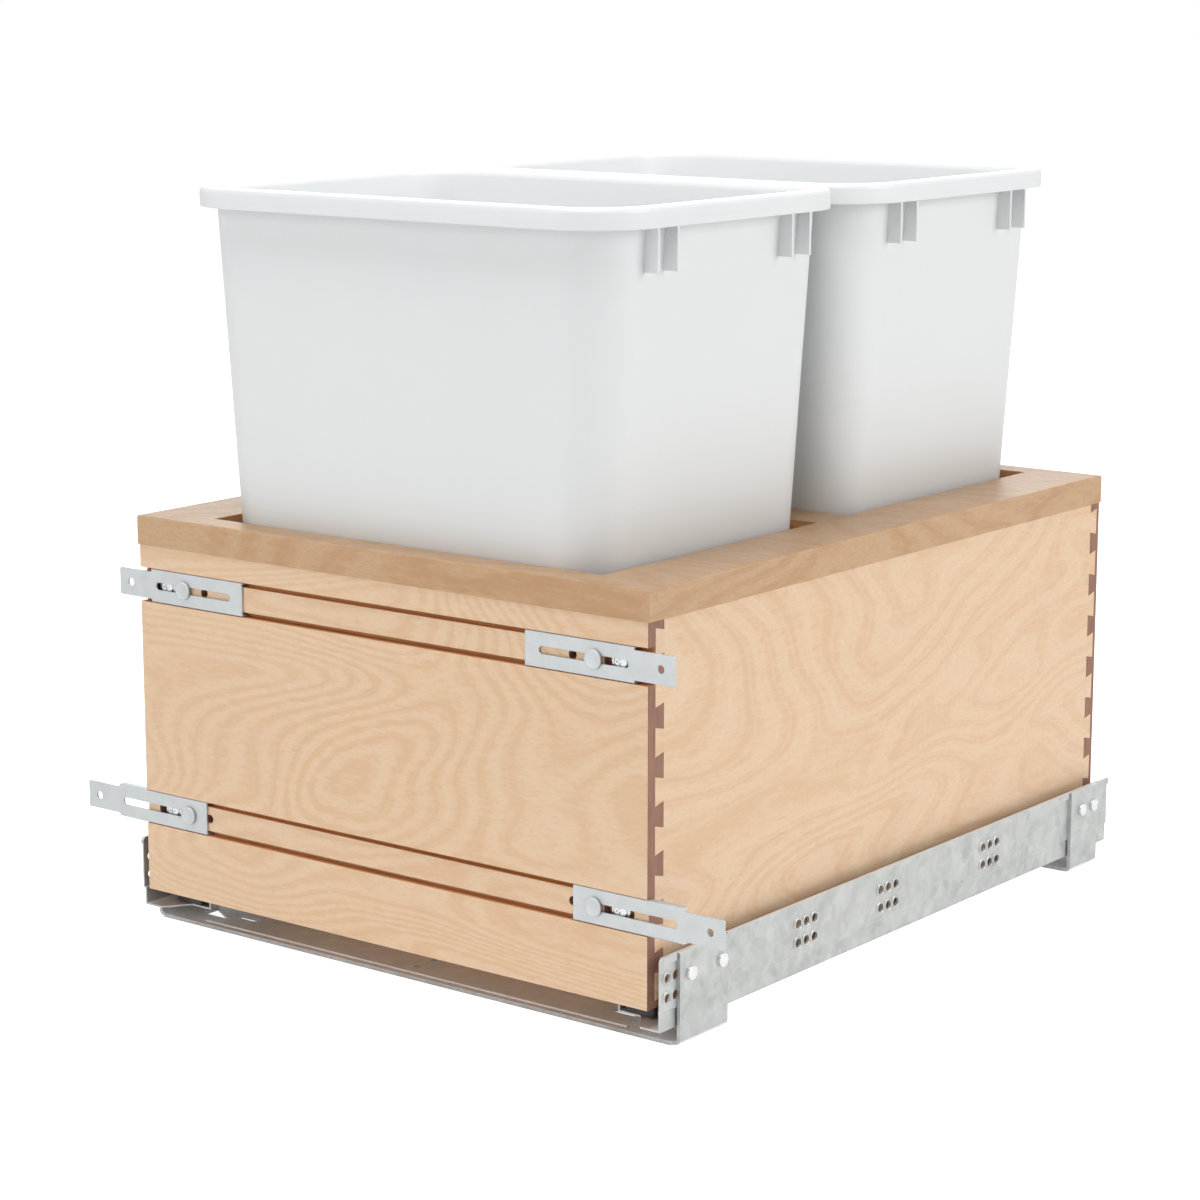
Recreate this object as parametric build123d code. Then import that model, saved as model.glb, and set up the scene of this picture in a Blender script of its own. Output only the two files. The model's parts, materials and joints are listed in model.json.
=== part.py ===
from build123d import *
import math
import os

# Pull-out waste unit: a dovetailed plywood drawer box that carries two bins in a framed top,
# on full-extension undermount runners that stand on two sheet-steel floor brackets, with four
# adjustable brackets on its front for a cabinet door.
# Units are millimetres. The drawing frame has X to the right, Y to the back and Z up, with its
# origin under the middle of the drawer box's front edge. Every piece is moved at export, so that
# the part's own origin is on the floor, in the middle of its bounding box.

# ---------------------------------------------------------------- driving dimensions
FLAT_COUNT = 12            # small holes and shanks that repeat are drawn with this many flats
HEAD_FLAT_COUNT = 24       # and heads, washers, pockets and rollers with this many

# drawer box; its width and depth follow from the bins
BOX_HEIGHT = 232.2
SIDE_THICK = 15.3
FRONT_LAP = 7.0            # wood left in front of the sockets of the half-blind dovetails
BACK_LAP = 3.0
GLUE_LINE = 0.1            # all round between glued or seated wooden pieces
WOOD_EASE = 0.8            # eased outer edges of the top frame

# dovetails
TAIL_LENGTH = 8.3
TAIL_COUNT = 8
TAIL_MARGIN = 12.955       # middle of the end tails from the panel's edges
TAIL_NECK = 14.1           # height of a tail where it leaves the side panel
TAIL_FLARE = 2.0           # what each edge gains over the tail's length

# bottom panel
BOTTOM_RECESS = 12.7       # room under the bottom panel for the runners
BOTTOM_THICK = 9.0
GROOVE_DEPTH = 6.0

# top frame
FRAME_THICK = 19.2
FRAME_OVERHANG = 1.0
OPENING_EASE_X = 6.5       # from the bin's wall to the opening, at the frame's top
OPENING_EASE_Y = 0.8
SIDE_RAIL = 49.1           # from an opening to the box's side
RIM_SETBACK = 2.8          # from the outer rims to the ends of the box

# bins
BIN_HEIGHT = 442.9
BIN_MOUTH_WIDTH = 329.4    # body at the mouth, outside
BIN_MOUTH_DEPTH = 237.0
BIN_MOUTH_RADIUS = 35.5
RIM_REACH_X = 9.6          # the rim stands out from the mouth by this
RIM_REACH_Y = 11.4
RIM_CORNER_REACH = 11.1
BIN_BAND = 13.0            # height of the rim's turned-down band
BIN_FOOT_WIDTH = 272.0     # body at the foot, outside
BIN_FOOT_DEPTH = 209.6
BIN_FOOT_RADIUS = 24.0
BIN_FOOT_EDGE = 6.0        # the foot's edge is eased by this
BIN_WALL = 2.4
BIN_BAND_WALL = 2.2
BIN_TOP_THICK = 3.0
BIN_GAP = 0.8              # between the two rims, over the middle rail
BIN_CORNER_FLATS = 8       # flats across each rounded corner
FIN_THICK = 2.0
FIN_DROP = 26.5            # how far the fins reach below the band
FIN_INSET = 1.6            # fins stop short of the band's outer face
FIN_PLACES = (59.0, 78.0)  # from the bin's middle, on both sides of it
BIN_SEAT_GAP = 0.3

# grooves and door brackets on the drawer front
KERF_HEIGHT = 3.2
KERF_DEPTH = 6.0
STRIP_RECESS = 1.6         # the strip between two kerfs lies this far back
BRACKET_HEIGHT = 22.0
BRACKET_SHEET = 1.4
BRACKET_CHANNEL = 81.0     # length with turned flanges
BRACKET_TAB = 29.0         # length of the plain tab beyond them
BRACKET_TAB_STEP = 2.0     # the tab is narrower by this at each edge
BRACKET_FLANGE = 3.8       # how far the flanges reach back
BRACKET_GAP = 0.3          # running clearance to the wood
BRACKET_ROUND = 1.2        # rounding at the tab's corners
SLOT_LENGTH = 66.5
SLOT_WIDTH = 4.8
SLOT_MARGIN = 10.4         # from the plate's inner end
TAB_HOLE_DIA = 5.2
TAB_HOLE_MARGIN = 10.2
UPPER_BRACKET_DOWN = 26.1  # its middle, below the box's top edge
LOWER_BRACKET_UP = 56.5    # its middle, above the box's bottom edge
UPPER_BRACKET_IN = 51.7    # from the knob to the plate's inner end, as set
LOWER_BRACKET_IN = 15.7

# clamp knobs, pocket screws and spare holes behind each door bracket
KNOB_INSET = 39.2          # from the box's side
KNOB_HEAD_DIA = 12.0
KNOB_HEAD_THICK = 1.8
KNOB_SHANK_DIA = 4.0
KNOB_SHANK_DEPTH = 12.0    # into the wood
SCREW_FIT = 0.05           # radial, screws in their own holes
POCKET_STEP = 17.5         # outwards from the knob
POCKET_DIA = 22.5
POCKET_DEPTH = 6.6         # from the front face
POCKET_WASHER_DIA = 21.0
POCKET_WASHER_THICK = 1.0
POCKET_HEAD_DIA = 11.0
POCKET_HEAD_THICK = 2.0
CROSS_LENGTH = 5.6
CROSS_WIDTH = 1.1
CROSS_DEPTH = 1.2
SPARE_STEP = 17.0          # inwards from the knob
SPARE_DIA = 6.0
SPARE_DEPTH = 12.0

# cabinet runners (fixed, outside the drawer box)
RUNNER_SHEET = 1.2
RUNNER_STAND_OFF = 8.0     # outer face of the web from the box's side
RUNNER_FRONT_Y = 2.0
RUNNER_REAR_PAST = 9.7     # behind the drawer box
RUNNER_BOTTOM_Z = -13.0
RUNNER_TOP_Z = 33.2
RUNNER_HEM = 4.6           # top edge, folded down outside
RUNNER_CORNER = 2.0        # clipped off the web's top front corner
RUNNER_FLOOR = 44.5        # bottom flange, turned in under the box
RUNNER_CURB = 8.5          # inner wall of the bottom flange
RUNNER_NOSE = 14.7         # the bottom flange's front edge, beside the web
RUNNER_NOSE_END = 26.7     # where its sloping edge ends, from the web
RUNNER_SETBACK = 17.8      # and where the rest of it starts, from the web's front
JOGGLE_Z = -1.2            # the web below this is set in
JOGGLE_STEP = 0.8
JOGGLE_FRONT = 1.0         # and starts this much further back
HOLE_DIA = 6.0
HOLE_PITCH = 8.9
HOLE_ROW_GAP = 12.1
HOLE_LOW_Z = 7.4
HOLE_GROUPS = (15.6, 151.4, 245.2, 371.6)   # middle of each group from the runner's front end
HOLE_COLUMNS = 3
HOLE_ROWS = 2

# floor brackets
FLOOR_SHEET = 2.5
FLOOR_DROP = 24.4          # floor below the drawer box
FRONT_BRACKET_Y = 18.5
FRONT_BRACKET_DEPTH = 48.5
REAR_BRACKET_DEPTH = 37.0
REAR_BRACKET_IN = 18.0     # from the runner's rear end
UPRIGHT_TOP_Z = 32.9
PAN_AHEAD = 2.5            # the pan's front edge stands ahead of the uprights
PAN_CORNER = 2.0           # its front corners are cut off by this
PAN_RIB_IN = 5.7           # stiffening rib behind the front edge
PAN_RIB_WIDTH = 2.6
PAN_RIB_RISE = 1.0
PAN_RIB_HALF_LENGTH = 176.0
BEND_RADIUS = 3.5
RELIEF_DIA = 3.0
RELIEF_MARGIN = 9.0        # bend reliefs from the ends of each upright
HEM_NOTCH_GAP = 1.0        # the runner's hem is cut back at the uprights
PAN_HOLE_DIA = 5.0
PAN_HOLES_Y = (33.4, 49.5)
FLOOR_SLOT_IN = 56.5       # from the runner's web
FLOOR_SLOT_Y = 43.0
FLOOR_SLOT_LENGTH = 21.0
FLOOR_SLOT_WIDTH = 6.5
VENT_IN = 23.0             # three-sided cut-outs, their upright edge from the runner's web
VENT_FRONT_Y = 33.3
VENT_WIDTH = 26.0
VENT_DEPTH = 15.0
REAR_SLOT_IN = 64.5
REAR_SLOT_LENGTH = 21.0
RIVET_DIA = 8.8
RIVET_SHANK_DIA = 5.0
RIVET_HEAD = 2.3
RIVET_TAIL = 1.2
RIVET_Z = 18.6
FRONT_RIVETS = (10.2, 41.5)   # from the upright's front edge
REAR_RIVETS = (14.0, 30.0)

# drawer runners (under the bottom panel)
SLIDE_SHEET = 1.2
DRAWER_RUNNER_SIDE_GAP = 0.6   # to the side panel
DRAWER_RUNNER_WIDTH = 17.6
DRAWER_RUNNER_SKIRT_Z = -8.0
DRAWER_RUNNER_FRONT_Y = 22.3
DRAWER_RUNNER_REAR_PAST = 2.6  # behind the drawer box
SEAT_FIT = 0.1                 # face to face clearance of fastened pieces
HOOK_THICK = 2.0
HOOK_WIDTH = 12.0
HOOK_PIN_DIA = 5.8
HOOK_PIN_LENGTH = 4.5          # into the drawer back
HOOK_PIN_RISE = 11.0           # above the underside of the bottom panel
HOOK_FIT = 0.1

# middle slides and the roller cages
MIDDLE_WIDTH = 10.4
MIDDLE_TOP_Z = 4.0
MIDDLE_SKIRT_Z = -9.5
MIDDLE_FRONT_Y = 60.0
MIDDLE_REAR_IN = 36.0          # from the runner's rear end
ROLL_GAP = 0.3                 # between a roller and the track it runs on
CAGE_SIDE_GAP = 0.4
CAGE_RAIL = 1.1                # nylon beside each roller
ROLLER_END_GAP = 0.3
LOWER_CAGE_FRONT_Y = 132.0
LOWER_CAGE_LENGTH = 236.0
LOWER_ROLLERS = 4
LOWER_CAGE_HEIGHT = 4.6
UPPER_CAGE_FRONT_Y = 190.0
UPPER_CAGE_LENGTH = 208.0
UPPER_ROLLERS = 4
UPPER_CAGE_HEIGHT = 3.4

# soft-close dampers beside the runners
DAMPER_Y = 300.0
DAMPER_LENGTH = 150.0
DAMPER_WIDTH = 13.0
DAMPER_HEIGHT = 11.0
DAMPER_ROUND = 2.5
DAMPER_ROD_DIA = 4.0
DAMPER_ROD_LENGTH = 48.0
DAMPER_ROD_IN = 2.0

# locking clips under the front corners
CLIP_LENGTH = 54.0
CLIP_WIDTH = 15.0
CLIP_FRONT_Y = 17.0
CLIP_BOTTOM_Z = 0.0
CLIP_ARM = 5.0                 # arm in front of the drawer runner's end
CLIP_ROUND = 2.0
CLIP_SCREW_HOLE_DIA = 4.0
CLIP_SCREWS_Y = (30.0, 62.0)
LEVER_TOP_Z = -0.5
LEVER_THICK = 3.4
LEVER_WIDTH = 9.0
LEVER_PIVOT_Y = 52.0
LEVER_PIN_DIA = 3.0
LEVER_PIN_FIT = 0.08
LEVER_PIN_HEAD = 5.5
LEVER_PIN_HEAD_THICK = 1.2
LEVER_PIN_HEAD_GAP = 0.3       # between the lever and the pin's head
LEVER_PIN_COVER = 2.0          # clip body left over the pin's end
GRIP_WIDTH = 22.0
GRIP_DEPTH = 4.2
GRIP_FRONT_Y = 17.4
GRIP_BOTTOM_Z = -10.6

# ---------------------------------------------------------------- worked-out places
FRAME_SHARE = (BOX_HEIGHT + FRAME_THICK - BOTTOM_RECESS - BOTTOM_THICK) / BIN_HEIGHT
OPENING_WIDTH = BIN_FOOT_WIDTH + FRAME_SHARE * (BIN_MOUTH_WIDTH - BIN_FOOT_WIDTH) + 2 * OPENING_EASE_X
OPENING_DEPTH = BIN_FOOT_DEPTH + FRAME_SHARE * (BIN_MOUTH_DEPTH - BIN_FOOT_DEPTH) + 2 * OPENING_EASE_Y
BIN_RIM_WIDTH = BIN_MOUTH_WIDTH + 2 * RIM_REACH_X
BIN_RIM_DEPTH = BIN_MOUTH_DEPTH + 2 * RIM_REACH_Y
BIN_RIM_RADIUS = BIN_MOUTH_RADIUS + RIM_CORNER_REACH
BOX_WIDTH = OPENING_WIDTH + 2 * SIDE_RAIL
BOX_DEPTH = 2 * BIN_RIM_DEPTH + BIN_GAP + 2 * RIM_SETBACK
HALF_WIDTH = BOX_WIDTH / 2
SIDE_INNER_X = HALF_WIDTH - SIDE_THICK
FRONT_THICK = FRONT_LAP + TAIL_LENGTH
BACK_THICK = BACK_LAP + TAIL_LENGTH
BACK_INNER_Y = BOX_DEPTH - BACK_THICK
BOTTOM_TOP_Z = BOTTOM_RECESS + BOTTOM_THICK
FRAME_TOP_Z = BOX_HEIGHT + FRAME_THICK
FRAME_FRONT_Y = -FRAME_OVERHANG
FLOOR_Z = -FLOOR_DROP
RUNNER_WEB_X = HALF_WIDTH + RUNNER_STAND_OFF
RUNNER_REAR_Y = BOX_DEPTH + RUNNER_REAR_PAST
REAR_BRACKET_Y = RUNNER_REAR_Y - REAR_BRACKET_IN - REAR_BRACKET_DEPTH
UPRIGHT_OUTER_X = RUNNER_WEB_X + FLOOR_SHEET
RUNNER_FLOOR_TOP_Z = RUNNER_BOTTOM_Z + RUNNER_SHEET
CURB_OUTER_X = RUNNER_WEB_X - RUNNER_FLOOR
PLATE_BACK_Y = STRIP_RECESS - BRACKET_GAP
PLATE_FRONT_Y = PLATE_BACK_Y - BRACKET_SHEET
KNOB_FACE_Y = PLATE_FRONT_Y - BRACKET_GAP - KNOB_HEAD_THICK
KNOB_X = HALF_WIDTH - KNOB_INSET
POCKET_X = KNOB_X + POCKET_STEP
SPARE_X = KNOB_X - SPARE_STEP
TRACK_X = SIDE_INNER_X - DRAWER_RUNNER_SIDE_GAP - DRAWER_RUNNER_WIDTH / 2
DRAWER_RUNNER_TOP_Z = BOTTOM_RECESS - SEAT_FIT
DRAWER_RUNNER_REAR_Y = BOX_DEPTH + DRAWER_RUNNER_REAR_PAST
DRAWER_RUNNER_INNER_X = TRACK_X - DRAWER_RUNNER_WIDTH / 2
TAIL_PITCH = (BOX_HEIGHT - 2 * TAIL_MARGIN) / (TAIL_COUNT - 1)
FRONT_BIN_Y = (BOX_DEPTH - BIN_RIM_DEPTH - BIN_GAP) / 2
REAR_BIN_Y = (BOX_DEPTH + BIN_RIM_DEPTH + BIN_GAP) / 2
BIN_FOOT_Z = BOTTOM_TOP_Z + BIN_SEAT_GAP
BIN_TOP_Z = BIN_FOOT_Z + BIN_HEIGHT
PART_MIDDLE_Y = (RUNNER_REAR_Y + KNOB_FACE_Y) / 2
CLIP_X = DRAWER_RUNNER_INNER_X - SEAT_FIT - CLIP_WIDTH / 2
HANDS = {"left": -1, "right": 1}
LEVELS = {
    "upper": (BOX_HEIGHT - UPPER_BRACKET_DOWN, KNOB_X - UPPER_BRACKET_IN),
    "lower": (LOWER_BRACKET_UP, KNOB_X - LOWER_BRACKET_IN),
}


# ---------------------------------------------------------------- shape helpers
def block(x0, x1, y0, y1, z0, z1):
    """A box given by its limits, in any order."""
    size = (abs(x1 - x0), abs(y1 - y0), abs(z1 - z0))
    return Pos((x0 + x1) / 2, (y0 + y1) / 2, (z0 + z1) / 2) * Box(*size)


def rod(length, dia, sides):
    """A bar along Z about its middle, round or with a number of flats."""
    if sides:
        return extrude(RegularPolygon(dia / 2, sides), amount=length / 2, both=True)
    return Cylinder(dia / 2, length)


def rod_y(x, z, y0, y1, dia, sides=0):
    """A bar along Y."""
    return Pos(x, (y0 + y1) / 2, z) * Rot(90, 0, 0) * rod(abs(y1 - y0), dia, sides)


def rod_x(y, z, x0, x1, dia, sides=0):
    """A bar along X."""
    return Pos((x0 + x1) / 2, y, z) * Rot(0, 90, 0) * rod(abs(x1 - x0), dia, sides)


def rod_z(x, y, z0, z1, dia, sides=0):
    """A bar along Z."""
    return Pos(x, y, (z0 + z1) / 2) * rod(abs(z1 - z0), dia, sides)


def extrude_x(points, x0, x1):
    """A closed outline of (Y, Z) points, extruded from x0 to x1."""
    face = Plane.YZ.offset(x0) * make_face(Polyline(*points, close=True))
    return extrude(face, amount=x1 - x0, dir=(1, 0, 0))


def extrude_y(points, y0, y1):
    """A closed outline of (X, Z) points, extruded from y0 to y1."""
    corners = [(x, y0, z) for x, z in points]
    face = make_face(Polyline(*corners, close=True))
    return extrude(face, amount=y1 - y0, dir=(0, 1, 0))


def handed(shape, hand):
    """The piece as drawn for the right-hand side, or its mirror image for the left."""
    return shape if hand > 0 else mirror(shape, about=Plane.YZ)


def group(shapes):
    """Separate solids kept together as one node."""
    return Compound([solid for shape in shapes for solid in shape.solids()])


def save(shape, name):
    """Moves a piece to the part's frame and writes it."""
    solids = [Pos(0, -PART_MIDDLE_Y, -FLOOR_Z) * solid for solid in shape.solids()]
    placed = solids[0] if len(solids) == 1 else Compound(solids)
    placed.label = name
    export_step(placed, os.path.join("parts", name + ".step"))


# ---------------------------------------------------------------- drawer box
def tail_outline(neck_y, tip_y, middle_z, grow):
    """One dovetail from its neck to its tip, grown by a clearance on its edges and its tip."""
    neck = TAIL_NECK / 2 + grow
    tip = TAIL_NECK / 2 + TAIL_FLARE + grow
    tip_y = tip_y + math.copysign(grow, tip_y - neck_y)
    lower_edge = [(neck_y, middle_z - neck), (tip_y, middle_z - tip)]
    upper_edge = [(tip_y, middle_z + tip), (neck_y, middle_z + neck)]
    return lower_edge + upper_edge


def tails(neck_y, tip_y, grow=0.0):
    """A row of dovetails at one end of the right side panel."""
    row = []
    for number in range(TAIL_COUNT):
        outline = tail_outline(neck_y, tip_y, TAIL_MARGIN + number * TAIL_PITCH, grow)
        row.append(extrude_x(outline, SIDE_INNER_X - grow, HALF_WIDTH + grow))
    return row


def side_panel(hand):
    """A side of the drawer box, with tails at both ends and a groove for the bottom panel."""
    panel = block(SIDE_INNER_X, HALF_WIDTH, FRONT_THICK, BACK_INNER_Y, 0, BOX_HEIGHT)
    panel = panel + tails(FRONT_THICK, FRONT_LAP) + tails(BACK_INNER_Y, BACK_INNER_Y + TAIL_LENGTH)
    groove = block(SIDE_INNER_X - 1, SIDE_INNER_X + GROOVE_DEPTH, FRONT_THICK, BACK_INNER_Y,
                   BOTTOM_RECESS, BOTTOM_TOP_Z)
    return handed(panel - groove, hand)


def sockets(neck_y, tip_y):
    """What both side panels take out of a front or back panel."""
    cut = tails(neck_y, tip_y, GLUE_LINE)
    return cut + [mirror(socket, about=Plane.YZ) for socket in cut]


def bracket_grooves(middle_z):
    """Two kerfs for a door bracket's flanges, and the strip between them, for the full width."""
    reach = BRACKET_HEIGHT / 2 + BRACKET_GAP
    wide = HALF_WIDTH + 1
    kerf_inner = reach - KERF_HEIGHT
    upper = block(-wide, wide, -1, KERF_DEPTH, middle_z + kerf_inner, middle_z + reach)
    lower = block(-wide, wide, -1, KERF_DEPTH, middle_z - reach, middle_z - kerf_inner)
    strip = block(-wide, wide, -1, STRIP_RECESS, middle_z - kerf_inner, middle_z + kerf_inner)
    return [upper, lower, strip]


def front_holes(middle_z):
    """Pocket, screw, knob and spare holes behind both brackets at one height."""
    holes = []
    shank_dia = KNOB_SHANK_DIA + 2 * SCREW_FIT
    shank_end = STRIP_RECESS + KNOB_SHANK_DEPTH + SCREW_FIT
    for hand in HANDS.values():
        holes.append(rod_y(hand * POCKET_X, middle_z, -1, POCKET_DEPTH, POCKET_DIA, HEAD_FLAT_COUNT))
        holes.append(rod_y(hand * KNOB_X, middle_z, 0, shank_end, shank_dia, FLAT_COUNT))
        holes.append(rod_y(hand * SPARE_X, middle_z, 0, SPARE_DEPTH, SPARE_DIA, FLAT_COUNT))
    return holes


def end_panel(y0, y1, neck_y, tip_y):
    """A front or back panel with its half-blind sockets."""
    return block(-HALF_WIDTH, HALF_WIDTH, y0, y1, 0, BOX_HEIGHT) - sockets(neck_y, tip_y)


def front_panel():
    """The drawer front, with pins at its ends, bracket grooves in its face and a bottom groove."""
    panel = end_panel(0, FRONT_THICK - GLUE_LINE, FRONT_THICK, FRONT_LAP)
    groove = block(-SIDE_INNER_X, SIDE_INNER_X, FRONT_THICK - GROOVE_DEPTH, FRONT_THICK,
                   BOTTOM_RECESS, BOTTOM_TOP_Z)
    cuts = [groove]
    for middle_z, _ in LEVELS.values():
        cuts += bracket_grooves(middle_z) + front_holes(middle_z)
    return panel - cuts


def back_panel():
    """The drawer back, notched for the runners and drilled for their rear hooks."""
    panel = end_panel(BACK_INNER_Y + GLUE_LINE, BOX_DEPTH, BACK_INNER_Y, BACK_INNER_Y + TAIL_LENGTH)
    cuts = [block(-SIDE_INNER_X, SIDE_INNER_X, BACK_INNER_Y, BACK_INNER_Y + GROOVE_DEPTH,
                  BOTTOM_RECESS, BOTTOM_TOP_Z)]
    notch_in = DRAWER_RUNNER_INNER_X - DRAWER_RUNNER_SIDE_GAP
    for hand in HANDS.values():
        cuts.append(block(hand * notch_in, hand * SIDE_INNER_X, BACK_INNER_Y - 1, BOX_DEPTH + 1,
                          -1, BOTTOM_RECESS))
        cuts.append(rod_y(hand * TRACK_X, BOTTOM_RECESS + HOOK_PIN_RISE, BOX_DEPTH + 1,
                          BOX_DEPTH - HOOK_PIN_LENGTH - HOOK_FIT, HOOK_PIN_DIA + 2 * HOOK_FIT, FLAT_COUNT))
    return panel - cuts


def bottom_panel():
    """The plywood bottom in the grooves, notched at its corners."""
    tongue = GROOVE_DEPTH - GLUE_LINE
    low = BOTTOM_RECESS + GLUE_LINE
    high = BOTTOM_TOP_Z - GLUE_LINE
    long_part = block(-SIDE_INNER_X + GLUE_LINE, SIDE_INNER_X - GLUE_LINE,
                      FRONT_THICK - tongue, BACK_INNER_Y + tongue, low, high)
    wide_part = block(-SIDE_INNER_X - tongue, SIDE_INNER_X + tongue,
                      FRONT_THICK + GLUE_LINE, BACK_INNER_Y - GLUE_LINE, low, high)
    return long_part + wide_part


def top_frame():
    """The thick frame on the box, with one opening for each bin."""
    edge_x = HALF_WIDTH + FRAME_OVERHANG
    frame = block(-edge_x, edge_x, FRAME_FRONT_Y, BOX_DEPTH + FRAME_OVERHANG,
                  BOX_HEIGHT + GLUE_LINE, FRAME_TOP_Z)
    upper_edges = frame.faces().sort_by(Axis.Z)[-1].edges()
    frame = chamfer(upper_edges, WOOD_EASE)
    for middle_y in (FRONT_BIN_Y, REAR_BIN_Y):
        frame -= block(-OPENING_WIDTH / 2, OPENING_WIDTH / 2, middle_y - OPENING_DEPTH / 2,
                       middle_y + OPENING_DEPTH / 2, BOX_HEIGHT - 1, FRAME_TOP_Z + 1)
    return frame


# ---------------------------------------------------------------- bins
def rounded(width, depth, radius, z, middle_y):
    """A horizontal rounded rectangle, each of whose corners is a row of short flats."""
    points = []
    for corner in range(4):
        side_x = (1, -1, -1, 1)[corner]
        side_y = (1, 1, -1, -1)[corner]
        for step in range(BIN_CORNER_FLATS + 1):
            turn = math.radians(90 * (corner + step / BIN_CORNER_FLATS))
            points.append((side_x * (width / 2 - radius) + radius * math.cos(turn),
                           side_y * (depth / 2 - radius) + radius * math.sin(turn)))
    return Pos(0, middle_y, z) * make_face(Polyline(*points, close=True))


def bin_body(middle_y, wall):
    """The tapered tub with its eased foot, or its inside when it is drawn in by a wall."""
    sections = []
    for rise, ease in ((wall, BIN_FOOT_EDGE), (BIN_FOOT_EDGE + wall / 2, 0), (BIN_HEIGHT, 0)):
        share = rise / BIN_HEIGHT
        inset = wall + ease
        sections.append(rounded(BIN_FOOT_WIDTH + share * (BIN_MOUTH_WIDTH - BIN_FOOT_WIDTH) - 2 * inset,
                                BIN_FOOT_DEPTH + share * (BIN_MOUTH_DEPTH - BIN_FOOT_DEPTH) - 2 * inset,
                                BIN_FOOT_RADIUS + share * (BIN_MOUTH_RADIUS - BIN_FOOT_RADIUS) - inset,
                                BIN_FOOT_Z + rise, middle_y))
    return loft(sections, ruled=True)


def bin_rim(middle_y):
    """The flat top flange and its turned-down outer band, without the tub."""
    outer = rounded(BIN_RIM_WIDTH, BIN_RIM_DEPTH, BIN_RIM_RADIUS, BIN_TOP_Z - BIN_BAND, middle_y)
    under = rounded(BIN_RIM_WIDTH - 2 * BIN_BAND_WALL, BIN_RIM_DEPTH - 2 * BIN_BAND_WALL,
                    BIN_RIM_RADIUS - BIN_BAND_WALL, BIN_TOP_Z - BIN_BAND, middle_y)
    rim = extrude(outer, amount=BIN_BAND)
    rim = chamfer(rim.faces().sort_by(Axis.Z)[-1].edges(), BIN_BAND_WALL / 2)
    return rim - extrude(under, amount=BIN_BAND - BIN_TOP_THICK)


def bin_fins(middle_y):
    """Stiffening fins under the rim's short sides, in two pairs on each side."""
    fins = []
    outer_x = BIN_RIM_WIDTH / 2 - FIN_INSET
    inner_x = BIN_FOOT_WIDTH / 2
    for hand in HANDS.values():
        for place in FIN_PLACES:
            for end in (-1, 1):
                y = middle_y + end * place
                fins.append(block(hand * inner_x, hand * outer_x, y - FIN_THICK / 2, y + FIN_THICK / 2,
                                  BIN_TOP_Z - BIN_BAND - FIN_DROP, BIN_TOP_Z - BIN_TOP_THICK / 2))
    return fins


def waste_bin(middle_y):
    """One moulded bin."""
    return bin_body(middle_y, 0) + bin_rim(middle_y) + bin_fins(middle_y) - bin_body(middle_y, BIN_WALL)


# ---------------------------------------------------------------- door brackets
def door_bracket(level, hand):
    """A flanged channel plate with a long slot and a plain tab for the door's screw."""
    middle_z, inner_x = LEVELS[level]
    half = BRACKET_HEIGHT / 2
    shoulder_x = inner_x + BRACKET_CHANNEL
    end_x = shoulder_x + BRACKET_TAB
    tab_half = half - BRACKET_TAB_STEP
    channel = block(inner_x, shoulder_x, PLATE_FRONT_Y, PLATE_BACK_Y, middle_z - half, middle_z + half)
    for edge in (-1, 1):
        channel += block(inner_x, shoulder_x, PLATE_FRONT_Y, PLATE_BACK_Y + BRACKET_FLANGE,
                         middle_z + edge * half, middle_z + edge * (half - BRACKET_SHEET))
    long_edges = channel.edges().filter_by(Axis.X).group_by(Axis.Y)[0]
    channel = chamfer(long_edges, BRACKET_SHEET / 2)
    tab = block(shoulder_x - 1, end_x, PLATE_FRONT_Y, PLATE_BACK_Y, middle_z - tab_half, middle_z + tab_half)
    tab_corners = tab.edges().filter_by(Axis.Y).group_by(Axis.X)[-1]
    plate = channel + fillet(tab_corners, BRACKET_ROUND)
    slot_middle = inner_x + SLOT_MARGIN + SLOT_LENGTH / 2
    slot_plane = Pos(slot_middle, PLATE_BACK_Y + 1, middle_z) * Rot(90, 0, 0)
    slot = extrude(slot_plane * SlotOverall(SLOT_LENGTH, SLOT_WIDTH), amount=BRACKET_SHEET + 2)
    hole = rod_y(end_x - TAB_HOLE_MARGIN, middle_z, PLATE_FRONT_Y - 1, PLATE_BACK_Y + 1, TAB_HOLE_DIA)
    return handed(plate - slot - hole, hand)


def bracket_places():
    """The hand and height of each of the four brackets on the drawer front."""
    return [(hand, middle_z) for hand in HANDS.values() for middle_z, _ in LEVELS.values()]


def clamp_knobs():
    """Flat-headed screws that clamp the door brackets through their slots."""
    knobs = []
    for hand, z in bracket_places():
        x = hand * KNOB_X
        head = rod_y(x, z, KNOB_FACE_Y, KNOB_FACE_Y + KNOB_HEAD_THICK, KNOB_HEAD_DIA, HEAD_FLAT_COUNT)
        shank = rod_y(x, z, KNOB_FACE_Y + KNOB_HEAD_THICK / 2, STRIP_RECESS + KNOB_SHANK_DEPTH,
                      KNOB_SHANK_DIA, FLAT_COUNT)
        knobs.append(head + shank)
    return group(knobs)


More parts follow.
